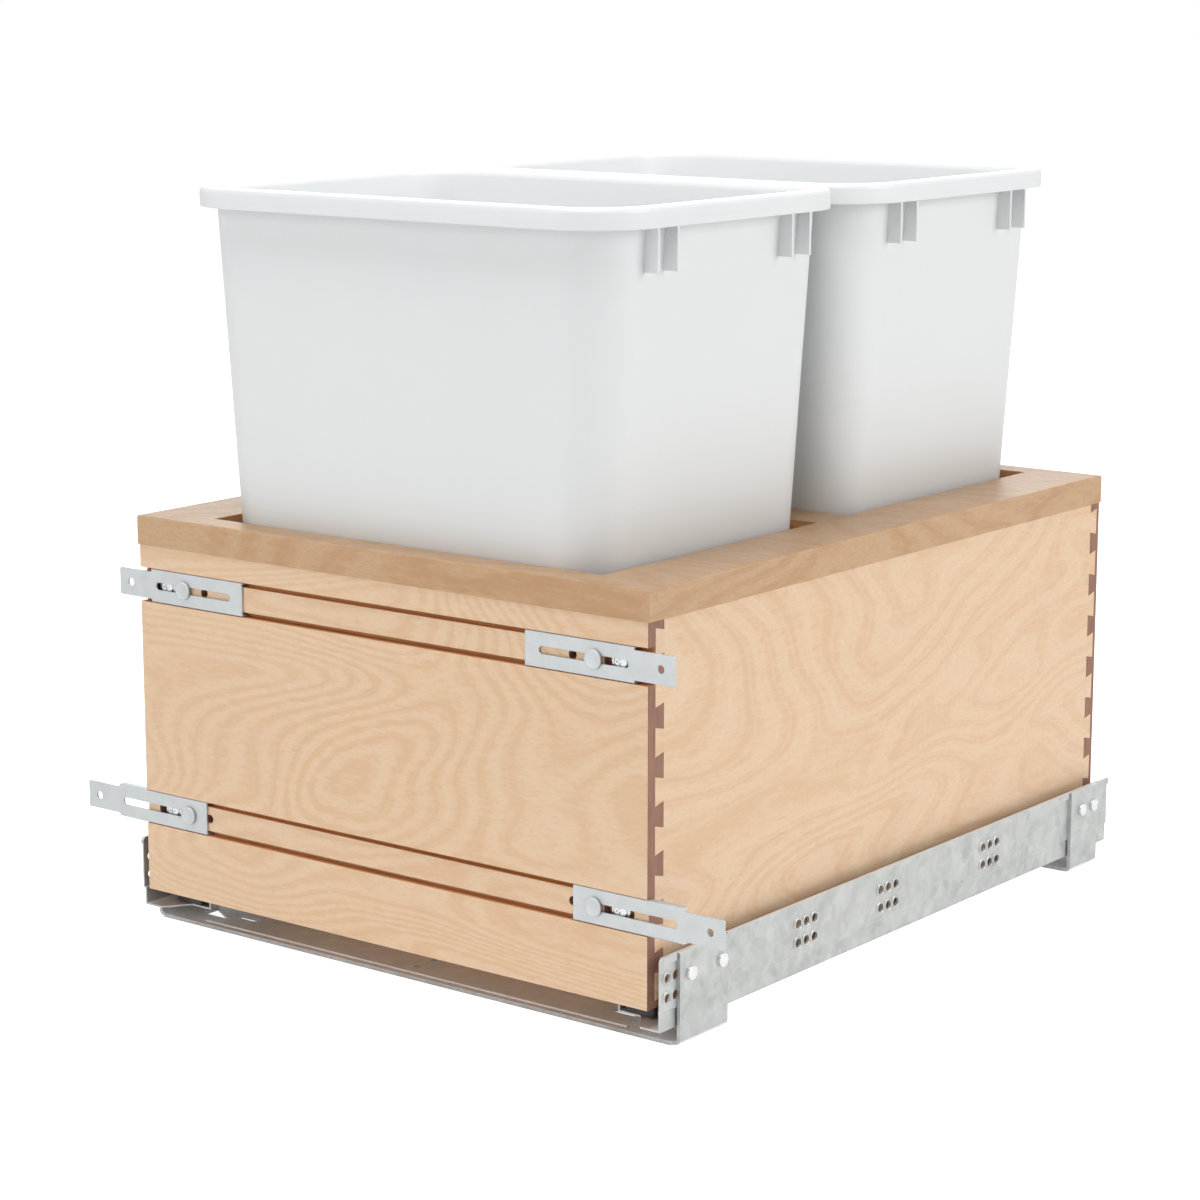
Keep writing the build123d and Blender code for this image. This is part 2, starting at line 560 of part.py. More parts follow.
def pocket_screws():
    """Washer-head screws on the floor of the round pockets, each with a cross recess."""
    screws = []
    back_y = POCKET_DEPTH - GLUE_LINE
    washer_y = back_y - POCKET_WASHER_THICK
    face_y = washer_y - POCKET_HEAD_THICK
    for hand, z in bracket_places():
        x = hand * POCKET_X
        washer = rod_y(x, z, washer_y, back_y, POCKET_WASHER_DIA, HEAD_FLAT_COUNT)
        head = rod_y(x, z, face_y, washer_y + POCKET_WASHER_THICK / 2, POCKET_HEAD_DIA, HEAD_FLAT_COUNT)
        bar_x = block(x - CROSS_LENGTH / 2, x + CROSS_LENGTH / 2, face_y - 1, face_y + CROSS_DEPTH,
                      z - CROSS_WIDTH / 2, z + CROSS_WIDTH / 2)
        bar_z = block(x - CROSS_WIDTH / 2, x + CROSS_WIDTH / 2, face_y - 1, face_y + CROSS_DEPTH,
                      z - CROSS_LENGTH / 2, z + CROSS_LENGTH / 2)
        screws.append(washer + head - bar_x - bar_z)
    return group(screws)


# ---------------------------------------------------------------- cabinet runners
def rivet_places():
    """Where the rivets stand along Y."""
    front = [FRONT_BRACKET_Y + place for place in FRONT_RIVETS]
    rear = [REAR_BRACKET_Y + place for place in REAR_RIVETS]
    return front + rear


def runner_holes():
    """The (Y, Z) places of the web's screw holes, without those that a rivet takes."""
    places = []
    for middle in HOLE_GROUPS:
        for column in range(HOLE_COLUMNS):
            y = RUNNER_FRONT_Y + middle + (column - (HOLE_COLUMNS - 1) / 2) * HOLE_PITCH
            for row in range(HOLE_ROWS):
                z = HOLE_LOW_Z + row * HOLE_ROW_GAP
                if all(math.hypot(y - rivet_y, z - RIVET_Z) > RIVET_DIA / 2 + HOLE_DIA / 2
                       for rivet_y in rivet_places()):
                    places.append((y, z))
    return places


def cabinet_runner(hand):
    """The fixed sheet profile: hemmed web with a clipped corner, and a curbed floor cut back in front."""
    t = RUNNER_SHEET
    web = RUNNER_WEB_X
    low_web = web - JOGGLE_STEP
    top = RUNNER_TOP_Z
    section = [
        (web, top - RUNNER_HEM), (web + t, top - RUNNER_HEM), (web + t, top), (web - t, top),
        (web - t, JOGGLE_Z + JOGGLE_STEP), (low_web - t, JOGGLE_Z), (low_web - t, RUNNER_FLOOR_TOP_Z),
        (CURB_OUTER_X + t, RUNNER_FLOOR_TOP_Z), (CURB_OUTER_X + t, RUNNER_BOTTOM_Z + RUNNER_CURB),
        (CURB_OUTER_X, RUNNER_BOTTOM_Z + RUNNER_CURB), (CURB_OUTER_X, RUNNER_BOTTOM_Z),
        (low_web, RUNNER_BOTTOM_Z), (low_web, JOGGLE_Z), (web, JOGGLE_Z + JOGGLE_STEP),
    ]
    profile = extrude_y(section, RUNNER_FRONT_Y, RUNNER_REAR_Y)
    setback = block(CURB_OUTER_X - 1, web + 1, RUNNER_FRONT_Y - 1, RUNNER_FRONT_Y + JOGGLE_FRONT,
                    RUNNER_BOTTOM_Z - 1, JOGGLE_Z)
    clip_y = RUNNER_FRONT_Y + RUNNER_CORNER
    corner = [(RUNNER_FRONT_Y - 1, top - RUNNER_CORNER - 1), (clip_y + 1, top + 1),
              (RUNNER_FRONT_Y - 1, top + 1)]
    nose_y = RUNNER_FRONT_Y + JOGGLE_FRONT
    rest_y = RUNNER_FRONT_Y + RUNNER_SETBACK
    nose = [(CURB_OUTER_X - 1, nose_y - 1), (low_web - RUNNER_NOSE, nose_y - 1),
            (low_web - RUNNER_NOSE, nose_y),
            (low_web - RUNNER_NOSE_END, rest_y), (CURB_OUTER_X - 1, rest_y)]
    cuts = [setback, extrude_x(corner, web - t - 1, web + t + 1),
            extrude(Pos(0, 0, RUNNER_BOTTOM_Z - 1) * make_face(Polyline(*nose, close=True)),
                    amount=RUNNER_CURB + 2)]
    for bracket_y, depth in ((FRONT_BRACKET_Y, FRONT_BRACKET_DEPTH), (REAR_BRACKET_Y, REAR_BRACKET_DEPTH)):
        cuts.append(block(web, web + t + 1, bracket_y - HEM_NOTCH_GAP,
                          bracket_y + depth + HEM_NOTCH_GAP, top - RUNNER_HEM - 1, top + 1))
    for y, z in runner_holes():
        cuts.append(rod_x(y, z, web - t - 1, web + 1, HOLE_DIA, FLAT_COUNT))
    for y in rivet_places():
        cuts.append(rod_x(y, RIVET_Z, web - t - 1, web + 1, RIVET_SHANK_DIA + 2 * SCREW_FIT, FLAT_COUNT))
    return handed(profile - cuts, hand)


# ---------------------------------------------------------------- floor brackets
def floor_strap(front_y, depth):
    """A strip of sheet bent up at both ends into uprights, with reliefs beside each bend."""
    outer = UPRIGHT_OUTER_X
    inner = RUNNER_WEB_X
    strap = block(-outer, outer, front_y, front_y + depth, FLOOR_Z, UPRIGHT_TOP_Z)
    strap = fillet(strap.edges().filter_by(Axis.Y).group_by(Axis.Z)[0], BEND_RADIUS)
    hollow = block(-inner, inner, front_y - 1, front_y + depth + 1, FLOOR_Z + FLOOR_SHEET, UPRIGHT_TOP_Z + 1)
    hollow = fillet(hollow.edges().filter_by(Axis.Y).group_by(Axis.Z)[0], BEND_RADIUS - FLOOR_SHEET)
    cuts = []
    for hand in HANDS.values():
        for y in (front_y + RELIEF_MARGIN, front_y + depth - RELIEF_MARGIN):
            cuts.append(rod_x(y, FLOOR_Z, hand * (inner - 1), hand * (outer + 1), RELIEF_DIA, FLAT_COUNT))
        for y in rivet_places():
            cuts.append(rod_x(y, RIVET_Z, hand * (inner - 1), hand * (outer + 1),
                              RIVET_SHANK_DIA + 2 * SCREW_FIT, FLAT_COUNT))
    return strap - hollow - cuts


def floor_slot(x, y, length):
    """A screw slot through the floor sheet."""
    outline = Pos(x, y, FLOOR_Z - 1) * SlotOverall(length, FLOOR_SLOT_WIDTH)
    return extrude(outline, amount=FLOOR_SHEET + 2)


def front_floor_bracket():
    """The front strap, whose pan has a stiffening rib, clipped corners, slots and cut-outs."""
    strap = floor_strap(FRONT_BRACKET_Y, FRONT_BRACKET_DEPTH)
    edge_y = FRONT_BRACKET_Y - PAN_AHEAD
    half = RUNNER_WEB_X - PAN_CORNER
    apron = [(-half, FRONT_BRACKET_Y + 1), (-half, edge_y + PAN_CORNER), (PAN_CORNER - half, edge_y),
             (half - PAN_CORNER, edge_y), (half, edge_y + PAN_CORNER), (half, FRONT_BRACKET_Y + 1)]
    floor_edge = extrude(Pos(0, 0, FLOOR_Z) * make_face(Polyline(*apron, close=True)), amount=FLOOR_SHEET)
    rib_y = edge_y + PAN_RIB_IN
    pan_top = FLOOR_Z + FLOOR_SHEET
    rib = extrude_x([(rib_y - PAN_RIB_WIDTH / 2, pan_top),
                     (rib_y - PAN_RIB_WIDTH / 4, pan_top + PAN_RIB_RISE),
                     (rib_y + PAN_RIB_WIDTH / 4, pan_top + PAN_RIB_RISE),
                     (rib_y + PAN_RIB_WIDTH / 2, pan_top)],
                    -PAN_RIB_HALF_LENGTH, PAN_RIB_HALF_LENGTH)
    cuts = [rod_z(0, y, FLOOR_Z - 1, pan_top + 1, PAN_HOLE_DIA) for y in PAN_HOLES_Y]
    for hand in HANDS.values():
        cuts.append(floor_slot(hand * (RUNNER_WEB_X - FLOOR_SLOT_IN), FLOOR_SLOT_Y, FLOOR_SLOT_LENGTH))
        outer_x = hand * (RUNNER_WEB_X - VENT_IN)
        vent = [(outer_x, VENT_FRONT_Y), (outer_x - hand * VENT_WIDTH, VENT_FRONT_Y),
                (outer_x, VENT_FRONT_Y + VENT_DEPTH)]
        cuts.append(extrude(Pos(0, 0, FLOOR_Z - 1) * make_face(Polyline(*vent, close=True)),
                            amount=FLOOR_SHEET + 2))
    return strap + floor_edge + rib - cuts


def rear_floor_bracket():
    """The rear strap, with two screw slots."""
    strap = floor_strap(REAR_BRACKET_Y, REAR_BRACKET_DEPTH)
    middle_y = REAR_BRACKET_Y + REAR_BRACKET_DEPTH / 2
    slot_x = RUNNER_WEB_X - REAR_SLOT_IN
    slots = [floor_slot(hand * slot_x, middle_y, REAR_SLOT_LENGTH) for hand in HANDS.values()]
    return strap - slots


def bracket_rivets():
    """Rivets that hold the cabinet runners to the uprights."""
    rivets = []
    web_inner = RUNNER_WEB_X - RUNNER_SHEET
    for hand in HANDS.values():
        for y in rivet_places():
            head = rod_x(y, RIVET_Z, hand * UPRIGHT_OUTER_X, hand * (UPRIGHT_OUTER_X + RIVET_HEAD), RIVET_DIA,
                         HEAD_FLAT_COUNT)
            shank = rod_x(y, RIVET_Z, hand * (web_inner - RIVET_TAIL),
                          hand * (UPRIGHT_OUTER_X + RIVET_HEAD / 2), RIVET_SHANK_DIA, FLAT_COUNT)
            rivets.append(head + shank)
    return group(rivets)


# ---------------------------------------------------------------- telescopic slides
def inverted_channel(middle_x, width, top_z, skirt_z, y0, y1):
    """A sheet channel, open downwards."""
    outer = block(middle_x - width / 2, middle_x + width / 2, y0, y1, skirt_z, top_z)
    upper_edges = outer.edges().filter_by(Axis.Y).group_by(Axis.Z)[-1]
    outer = fillet(upper_edges, SLIDE_SHEET)
    room = width / 2 - SLIDE_SHEET
    return outer - block(middle_x - room, middle_x + room, y0 - 1, y1 + 1, skirt_z - 1, top_z - SLIDE_SHEET)


def drawer_runner(hand):
    """The moving channel under the bottom panel."""
    channel = inverted_channel(TRACK_X, DRAWER_RUNNER_WIDTH, DRAWER_RUNNER_TOP_Z, DRAWER_RUNNER_SKIRT_Z,
                               DRAWER_RUNNER_FRONT_Y, DRAWER_RUNNER_REAR_Y)
    return handed(channel, hand)


def rear_hook(hand):
    """A plate that stands on the runner behind the drawer back, with a pin in the back's hole."""
    plate_y = BOX_DEPTH + DRAWER_RUNNER_REAR_PAST - HOOK_THICK
    pin_z = BOTTOM_RECESS + HOOK_PIN_RISE
    plate = block(TRACK_X - HOOK_WIDTH / 2, TRACK_X + HOOK_WIDTH / 2, plate_y, plate_y + HOOK_THICK,
                  DRAWER_RUNNER_TOP_Z + SEAT_FIT, pin_z + HOOK_WIDTH / 2)
    plate = fillet(plate.edges().filter_by(Axis.Y).group_by(Axis.Z)[-1], HOOK_WIDTH / 3)
    pin = rod_y(TRACK_X, pin_z, BOX_DEPTH - HOOK_PIN_LENGTH, plate_y + HOOK_THICK / 2,
                HOOK_PIN_DIA, FLAT_COUNT)
    return handed(plate + pin, hand)


def middle_slide(hand):
    """The channel that travels at half the drawer's speed."""
    channel = inverted_channel(TRACK_X, MIDDLE_WIDTH, MIDDLE_TOP_Z, MIDDLE_SKIRT_Z,
                               MIDDLE_FRONT_Y, RUNNER_REAR_Y - MIDDLE_REAR_IN)
    return handed(channel, hand)


def roller_rows():
    """Both roller rows: cage start, length, count, width, cage height and the tracks below and above."""
    lower = (LOWER_CAGE_FRONT_Y, LOWER_CAGE_LENGTH, LOWER_ROLLERS,
             MIDDLE_WIDTH - 2 * SLIDE_SHEET - 2 * CAGE_SIDE_GAP, LOWER_CAGE_HEIGHT,
             RUNNER_FLOOR_TOP_Z, MIDDLE_TOP_Z - SLIDE_SHEET)
    upper = (UPPER_CAGE_FRONT_Y, UPPER_CAGE_LENGTH, UPPER_ROLLERS, MIDDLE_WIDTH, UPPER_CAGE_HEIGHT,
             MIDDLE_TOP_Z, DRAWER_RUNNER_TOP_Z - SLIDE_SHEET)
    return {"lower": lower, "upper": upper}


def roller_size(row):
    """Diameter, height of the middle and pitch of one row of rollers."""
    _, length, count, _, _, below, above = roller_rows()[row]
    return above - below - 2 * ROLL_GAP, (above + below) / 2, length / count


def roller_cage(row, hand):
    """A nylon ladder that spaces the rollers."""
    front, length, count, width, height, _, _ = roller_rows()[row]
    dia, middle_z, pitch = roller_size(row)
    cage = block(TRACK_X - width / 2, TRACK_X + width / 2, front, front + length,
                 middle_z - height / 2, middle_z + height / 2)
    cuts = []
    for number in range(count):
        y = front + (number + 0.5) * pitch
        room = width / 2 - CAGE_RAIL
        half = dia / 2 + ROLLER_END_GAP
        cuts.append(block(TRACK_X - room, TRACK_X + room, y - half, y + half,
                          middle_z - height, middle_z + height))
    return handed(cage - cuts, hand)


def rollers(row):
    """The rollers of one row on both sides."""
    front, _, count, width, _, _, _ = roller_rows()[row]
    dia, middle_z, pitch = roller_size(row)
    reach = width / 2 - CAGE_RAIL - ROLLER_END_GAP
    made = []
    for hand in HANDS.values():
        for number in range(count):
            y = front + (number + 0.5) * pitch
            made.append(rod_x(y, middle_z, hand * (TRACK_X - reach), hand * (TRACK_X + reach), dia,
                              HEAD_FLAT_COUNT))
    return group(made)


def soft_close_damper(hand):
    """A closed damper housing beside the runner's curb, with its piston rod."""
    outer_x = CURB_OUTER_X - SEAT_FIT
    middle_x = outer_x - DAMPER_WIDTH / 2
    low = RUNNER_BOTTOM_Z
    housing = block(outer_x - DAMPER_WIDTH, outer_x, DAMPER_Y, DAMPER_Y + DAMPER_LENGTH,
                    low, low + DAMPER_HEIGHT)
    housing = fillet(housing.edges().filter_by(Axis.Y), DAMPER_ROUND)
    piston = rod_y(middle_x, low + DAMPER_HEIGHT / 2, DAMPER_Y - DAMPER_ROD_LENGTH, DAMPER_Y + DAMPER_ROD_IN,
                   DAMPER_ROD_DIA, FLAT_COUNT)
    return handed(housing + piston, hand)


# ---------------------------------------------------------------- locking clips
def clip_body(hand):
    """The clip's housing under the bottom panel, with an arm ahead of the drawer runner."""
    low = CLIP_BOTTOM_Z
    high = BOTTOM_RECESS
    inner_x = CLIP_X - CLIP_WIDTH / 2
    outer_x = CLIP_X + CLIP_WIDTH / 2
    body = block(inner_x, outer_x, CLIP_FRONT_Y, CLIP_FRONT_Y + CLIP_LENGTH, low, high)
    body = fillet(body.edges().filter_by(Axis.Z), CLIP_ROUND)
    arm_end = CLIP_FRONT_Y + CLIP_ARM
    body += block(outer_x - CLIP_ROUND * 2, TRACK_X + DRAWER_RUNNER_WIDTH / 2,
                  CLIP_FRONT_Y, arm_end, low, high)
    cuts = [rod_z(CLIP_X, LEVER_PIVOT_Y, low - 1, high - LEVER_PIN_COVER,
                  LEVER_PIN_DIA + 2 * SCREW_FIT, FLAT_COUNT)]
    for y in CLIP_SCREWS_Y:
        cuts.append(rod_z(CLIP_X, y, low - 1, high + 1, CLIP_SCREW_HOLE_DIA, FLAT_COUNT))
    return handed(body - cuts, hand)


def clip_lever(hand):
    """The release lever: a flat arm on the pivot pin and a grip under the box's front corner."""
    low = LEVER_TOP_Z - LEVER_THICK
    arm = block(CLIP_X - LEVER_WIDTH / 2, CLIP_X + LEVER_WIDTH / 2, GRIP_FRONT_Y,
                LEVER_PIVOT_Y + LEVER_WIDTH / 2, low, LEVER_TOP_Z)
    rear_edges = arm.edges().filter_by(Axis.Z).group_by(Axis.Y)[-1]
    arm = fillet(rear_edges, LEVER_WIDTH / 2 - 0.1)
    grip_outer = SIDE_INNER_X + SIDE_THICK / 2
    grip = block(grip_outer - GRIP_WIDTH, grip_outer, GRIP_FRONT_Y, GRIP_FRONT_Y + GRIP_DEPTH,
                 GRIP_BOTTOM_Z, LEVER_TOP_Z)
    grip = fillet(grip.edges().filter_by(Axis.Z), CLIP_ROUND)
    bridge = block(CLIP_X, grip_outer - GRIP_WIDTH / 2, GRIP_FRONT_Y, GRIP_FRONT_Y + GRIP_DEPTH,
                   low, LEVER_TOP_Z)
    hole = rod_z(CLIP_X, LEVER_PIVOT_Y, low - 1, LEVER_TOP_Z + 1, LEVER_PIN_DIA + 2 * LEVER_PIN_FIT)
    return handed(arm + grip + bridge - hole, hand)


def clip_pins():
    """Headed pivot pins of the two levers, seated in the clip bodies."""
    low = LEVER_TOP_Z - LEVER_THICK - LEVER_PIN_HEAD_GAP
    pins = []
    for hand in HANDS.values():
        x = hand * CLIP_X
        head = rod_z(x, LEVER_PIVOT_Y, low - LEVER_PIN_HEAD_THICK, low, LEVER_PIN_HEAD, HEAD_FLAT_COUNT)
        shank = rod_z(x, LEVER_PIVOT_Y, low - LEVER_PIN_HEAD_THICK / 2,
                      BOTTOM_RECESS - LEVER_PIN_COVER - SEAT_FIT, LEVER_PIN_DIA, FLAT_COUNT)
        pins.append(head + shank)
    return group(pins)


# ---------------------------------------------------------------- write every node
def main():
    os.makedirs("parts", exist_ok=True)
    for side, hand in HANDS.items():
        save(side_panel(hand), side + "_side_panel")
        save(cabinet_runner(hand), side + "_cabinet_runner")
        save(drawer_runner(hand), side + "_drawer_runner")
        save(rear_hook(hand), side + "_rear_hook")
        save(middle_slide(hand), side + "_middle_slide")
        save(soft_close_damper(hand), side + "_soft_close_damper")
        save(clip_body(hand), side + "_clip_body")
        save(clip_lever(hand), side + "_clip_lever")
        for row in roller_rows():
            save(roller_cage(row, hand), side + "_" + row + "_roller_cage")
        for level in LEVELS:
            save(door_bracket(level, hand), level + "_" + side + "_door_bracket")
    for row in roller_rows():
        save(rollers(row), row + "_rollers")
    save(front_panel(), "front_panel")
    save(back_panel(), "back_panel")
    save(bottom_panel(), "bottom_panel")
    save(top_frame(), "top_frame")
    save(waste_bin(FRONT_BIN_Y), "front_bin")
    save(waste_bin(REAR_BIN_Y), "rear_bin")
    save(clamp_knobs(), "clamp_knobs")
    save(pocket_screws(), "pocket_screws")
    save(front_floor_bracket(), "front_floor_bracket")
    save(rear_floor_bracket(), "rear_floor_bracket")
    save(bracket_rivets(), "bracket_rivets")
    save(clip_pins(), "clip_pins")


main()
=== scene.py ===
import json
import math

import bmesh
import bpy
from mathutils import Matrix, Vector

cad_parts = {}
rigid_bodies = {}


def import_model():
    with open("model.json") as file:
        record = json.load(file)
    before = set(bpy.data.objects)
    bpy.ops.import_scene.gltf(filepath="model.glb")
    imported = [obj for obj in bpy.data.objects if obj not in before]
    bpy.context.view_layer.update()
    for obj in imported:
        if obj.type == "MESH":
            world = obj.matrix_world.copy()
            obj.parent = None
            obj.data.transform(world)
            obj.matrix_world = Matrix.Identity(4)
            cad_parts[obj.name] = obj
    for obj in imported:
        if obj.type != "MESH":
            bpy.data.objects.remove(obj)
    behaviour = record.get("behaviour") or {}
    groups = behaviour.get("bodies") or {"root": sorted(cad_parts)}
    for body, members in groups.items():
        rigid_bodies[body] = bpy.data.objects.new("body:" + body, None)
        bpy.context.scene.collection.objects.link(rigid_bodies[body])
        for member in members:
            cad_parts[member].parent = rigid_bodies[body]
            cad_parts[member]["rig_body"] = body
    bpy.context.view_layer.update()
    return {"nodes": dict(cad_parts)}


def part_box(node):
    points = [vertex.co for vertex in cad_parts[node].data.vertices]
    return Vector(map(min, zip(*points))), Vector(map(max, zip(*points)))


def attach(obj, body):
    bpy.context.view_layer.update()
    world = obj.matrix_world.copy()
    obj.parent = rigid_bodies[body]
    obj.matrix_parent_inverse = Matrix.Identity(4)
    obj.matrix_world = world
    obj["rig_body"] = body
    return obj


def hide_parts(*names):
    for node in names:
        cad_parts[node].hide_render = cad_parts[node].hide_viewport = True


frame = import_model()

bpy.ops.object.select_all(action="DESELECT")

# ---------------------------------------------------------------- floor brackets
# Two straps of galvanised sheet steel, 2.5 mm thick, bent up at both ends. They lie on the cabinet
# floor and carry both runners. The front one is a wider pan with a stiffening rib pressed along its
# front edge and a three-sided window near each end.
SHEET_EASE = 0.0003
FLOOR_SHEET = 0.0025
FLAT = math.radians(0.5)
SHARP = math.radians(35)
SMOOTH = math.radians(50)
SAME_PLACE = 1e-6
ZINC = (0.54, 0.56, 0.555, 1)
ZINC_DARK = (0.38, 0.40, 0.395, 1)
ZINC_LIGHT = (0.64, 0.655, 0.655, 1)
# Lighter, less metallic zinc for faces turned up: painted light standing in for the light the sheet floors
# catch.
PAINTED_LIGHT_ON_ZINC = (0.84, 0.83, 0.82, 1)
PAINTED_LIGHT_ON_ZINC_DARK = (0.72, 0.71, 0.70, 1)


def alone(piece):
    """Makes a piece the only selected one, ready for edit mode."""
    bpy.ops.object.select_all(action="DESELECT")
    piece.select_set(True)
    bpy.context.view_layer.objects.active = piece


def take_finish(piece, node):
    """Puts a finished piece in a node's place: on its body, with the node hidden."""
    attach(piece, frame["nodes"][node]["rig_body"])
    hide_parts(node)
    piece.select_set(False)
    return piece


def eased_copy(node, ease, steps=2):
    """A copy of a node with whole flat faces again and every sharp edge eased."""
    piece = bpy.data.objects.new(node + "_finished", frame["nodes"][node].data.copy())
    bpy.context.scene.collection.objects.link(piece)
    alone(piece)
    bpy.ops.object.mode_set(mode="EDIT")
    bpy.ops.mesh.select_all(action="SELECT")
    bpy.ops.mesh.remove_doubles(threshold=SAME_PLACE)
    bpy.ops.mesh.dissolve_limited(angle_limit=FLAT)
    bpy.ops.object.mode_set(mode="OBJECT")
    bevel = piece.modifiers.new("eased edges", "BEVEL")
    bevel.width = ease
    bevel.segments = steps
    bevel.limit_method = "ANGLE"
    bevel.angle_limit = SHARP
    bevel.use_clamp_overlap = True
    bpy.ops.object.modifier_apply(modifier=bevel.name)
    bpy.ops.object.shade_smooth_by_angle(angle=SMOOTH)
    weighted = piece.modifiers.new("flat faces", "WEIGHTED_NORMAL")
    weighted.keep_sharp = True
    bpy.ops.object.modifier_apply(modifier=weighted.name)
    return piece


def wipe_materials(piece, *materials):
    """Gives a piece these materials and no other."""
    piece.data.materials.clear()
    for material in materials:
        piece.data.materials.append(material)


def new_material(name):
    """A material and short ways to add a node and a link to it."""
    material = bpy.data.materials.new(name)
    material.use_nodes = True
    nodes = material.node_tree.nodes
    links = material.node_tree.links
    return material, nodes, links, nodes["Principled BSDF"]


def place_map(nodes, links, scale, turn=(0, 0, 0), shift=(0, 0, 0)):
    """Object coordinates, scaled in cycles per metre along each axis."""
    place = nodes.new("ShaderNodeTexCoord")
    mapping = nodes.new("ShaderNodeMapping")
    mapping.inputs["Scale"].default_value = scale
    mapping.inputs["Rotation"].default_value = turn
    mapping.inputs["Location"].default_value = shift
    links.new(place.outputs["Object"], mapping.inputs["Vector"])
    return mapping.outputs["Vector"]


def noise(nodes, links, vector, detail=2.0, roughness=0.5, distortion=0.0):
    """Noise from 0 to 1 at a scaled place."""
    texture = nodes.new("ShaderNodeTexNoise")
    texture.inputs["Scale"].default_value = 1.0
    texture.inputs["Detail"].default_value = detail
    texture.inputs["Roughness"].default_value = roughness
    texture.inputs["Distortion"].default_value = distortion
    links.new(vector, texture.inputs["Vector"])
    return texture.outputs["Fac"]


def between(nodes, links, value, low, high, out_low=0.0, out_high=1.0):
    """Stretches a value from one range to another."""
    ramp = nodes.new("ShaderNodeMapRange")
    ramp.inputs["From Min"].default_value = low
    ramp.inputs["From Max"].default_value = high
    ramp.inputs["To Min"].default_value = out_low
    ramp.inputs["To Max"].default_value = out_high
    links.new(value, ramp.inputs["Value"])
    return ramp.outputs["Result"]


def colour_socket(sockets, name):
    """The colour socket of a mix, which has others of the same name."""
    return next(socket for socket in sockets if socket.name == name and socket.type == "RGBA")


def blend_colours(nodes, links, share, first, second):
    """Mixes two colours, each a colour or another node's output."""
    mix = nodes.new("ShaderNodeMix")
    mix.data_type = "RGBA"
    if isinstance(share, float):
        mix.inputs["Factor"].default_value = share
    else:
        links.new(share, mix.inputs["Factor"])
    for socket, colour in (("A", first), ("B", second)):
        if isinstance(colour, tuple):
            colour_socket(mix.inputs, socket).default_value = colour
        else:
            links.new(colour, colour_socket(mix.inputs, socket))
    return colour_socket(mix.outputs, "Result")


def dented(nodes, links, height, shader, depth, strength):
    """Bump of a given depth in metres."""
    bump = nodes.new("ShaderNodeBump")
    bump.inputs["Strength"].default_value = strength
    bump.inputs["Distance"].default_value = depth
    links.new(height, bump.inputs["Height"])
    links.new(bump.outputs["Normal"], shader.inputs["Normal"])


def galvanised_sheet(name, light, dark, metallic):
    """Hot-dip zinc: small dull and bright crystals, rubbed in streaks."""
    material, nodes, links, shader = new_material(name)
    shader.inputs["Metallic"].default_value = metallic
    crystals = nodes.new("ShaderNodeTexVoronoi")
    crystals.inputs["Scale"].default_value = 1.0
    crystals.inputs["Randomness"].default_value = 1.0
    warp = place_map(nodes, links, (150, 150, 150))
    links.new(warp, crystals.inputs["Vector"])
    cell = nodes.new("ShaderNodeSeparateColor")
    links.new(crystals.outputs["Color"], cell.inputs["Color"])
    cloud = noise(nodes, links, place_map(nodes, links, (60, 60, 60)), 4.0, 0.6, 0.5)
    streak = noise(nodes, links, place_map(nodes, links, (500, 12, 500)), 2.0, 0.5)
    tone = blend_colours(nodes, links, between(nodes, links, cloud, 0.3, 0.7), light, dark)
    bright = between(nodes, links, cell.outputs["Red"], 0, 1, 0.0, 0.35)
    tone = blend_colours(nodes, links, bright, tone, ZINC_LIGHT)
    links.new(tone, shader.inputs["Base Color"])
    dull = between(nodes, links, cell.outputs["Green"], 0, 1, 0.34, 0.46)
    links.new(dull, shader.inputs["Roughness"])
    dented(nodes, links, streak, shader, 0.00004, 0.3)
    return material


zinc = galvanised_sheet("galvanised_sheet", ZINC, ZINC_DARK, 0.62)
painted_light_zinc = galvanised_sheet("painted_light_zinc", PAINTED_LIGHT_ON_ZINC, PAINTED_LIGHT_ON_ZINC_DARK, 0.2)
for node in ("front_floor_bracket", "rear_floor_bracket"):
    strap = take_finish(eased_copy(node, SHEET_EASE), node)
    wipe_materials(strap, zinc, painted_light_zinc)
    # Faces turned up take the lighter zinc: painted light on the floors.
    for face in strap.data.polygons:
        if abs(face.normal.z) > 0.3:
            face.material_index = 1

# ---------------------------------------------------------------- cabinet runners
# The fixed runners are roll-formed from 1.2 mm galvanised sheet, hemmed along the top and riveted to
# the straps' uprights. Their screw holes are drawn from inside, so a collar stands round each one.
RUNNER_EASE = 0.0002
HEM = 0.0012
UPRIGHT_WIDTH = 0.053
COLLAR_RADIUS = 0.0046
COLLAR_RISE = 0.0009
COLLAR_SINK = 0.0003
COLLAR_SIDES = 24
RUNNER_HOLE_RADIUS = 0.003
HOLE_SIDES = 12
COLLAR_RINGS = [
    (RUNNER_HOLE_RADIUS, -COLLAR_SINK), (RUNNER_HOLE_RADIUS, COLLAR_RISE - 0.0003),
    (RUNNER_HOLE_RADIUS + 0.0002, COLLAR_RISE - 0.0001), (RUNNER_HOLE_RADIUS + 0.0005, COLLAR_RISE),
    (COLLAR_RADIUS - 0.0006, COLLAR_RISE - 0.0001), (COLLAR_RADIUS - 0.0002, COLLAR_RISE - 0.0004),
    (COLLAR_RADIUS, 0.0), (COLLAR_RADIUS, -COLLAR_SINK),
]


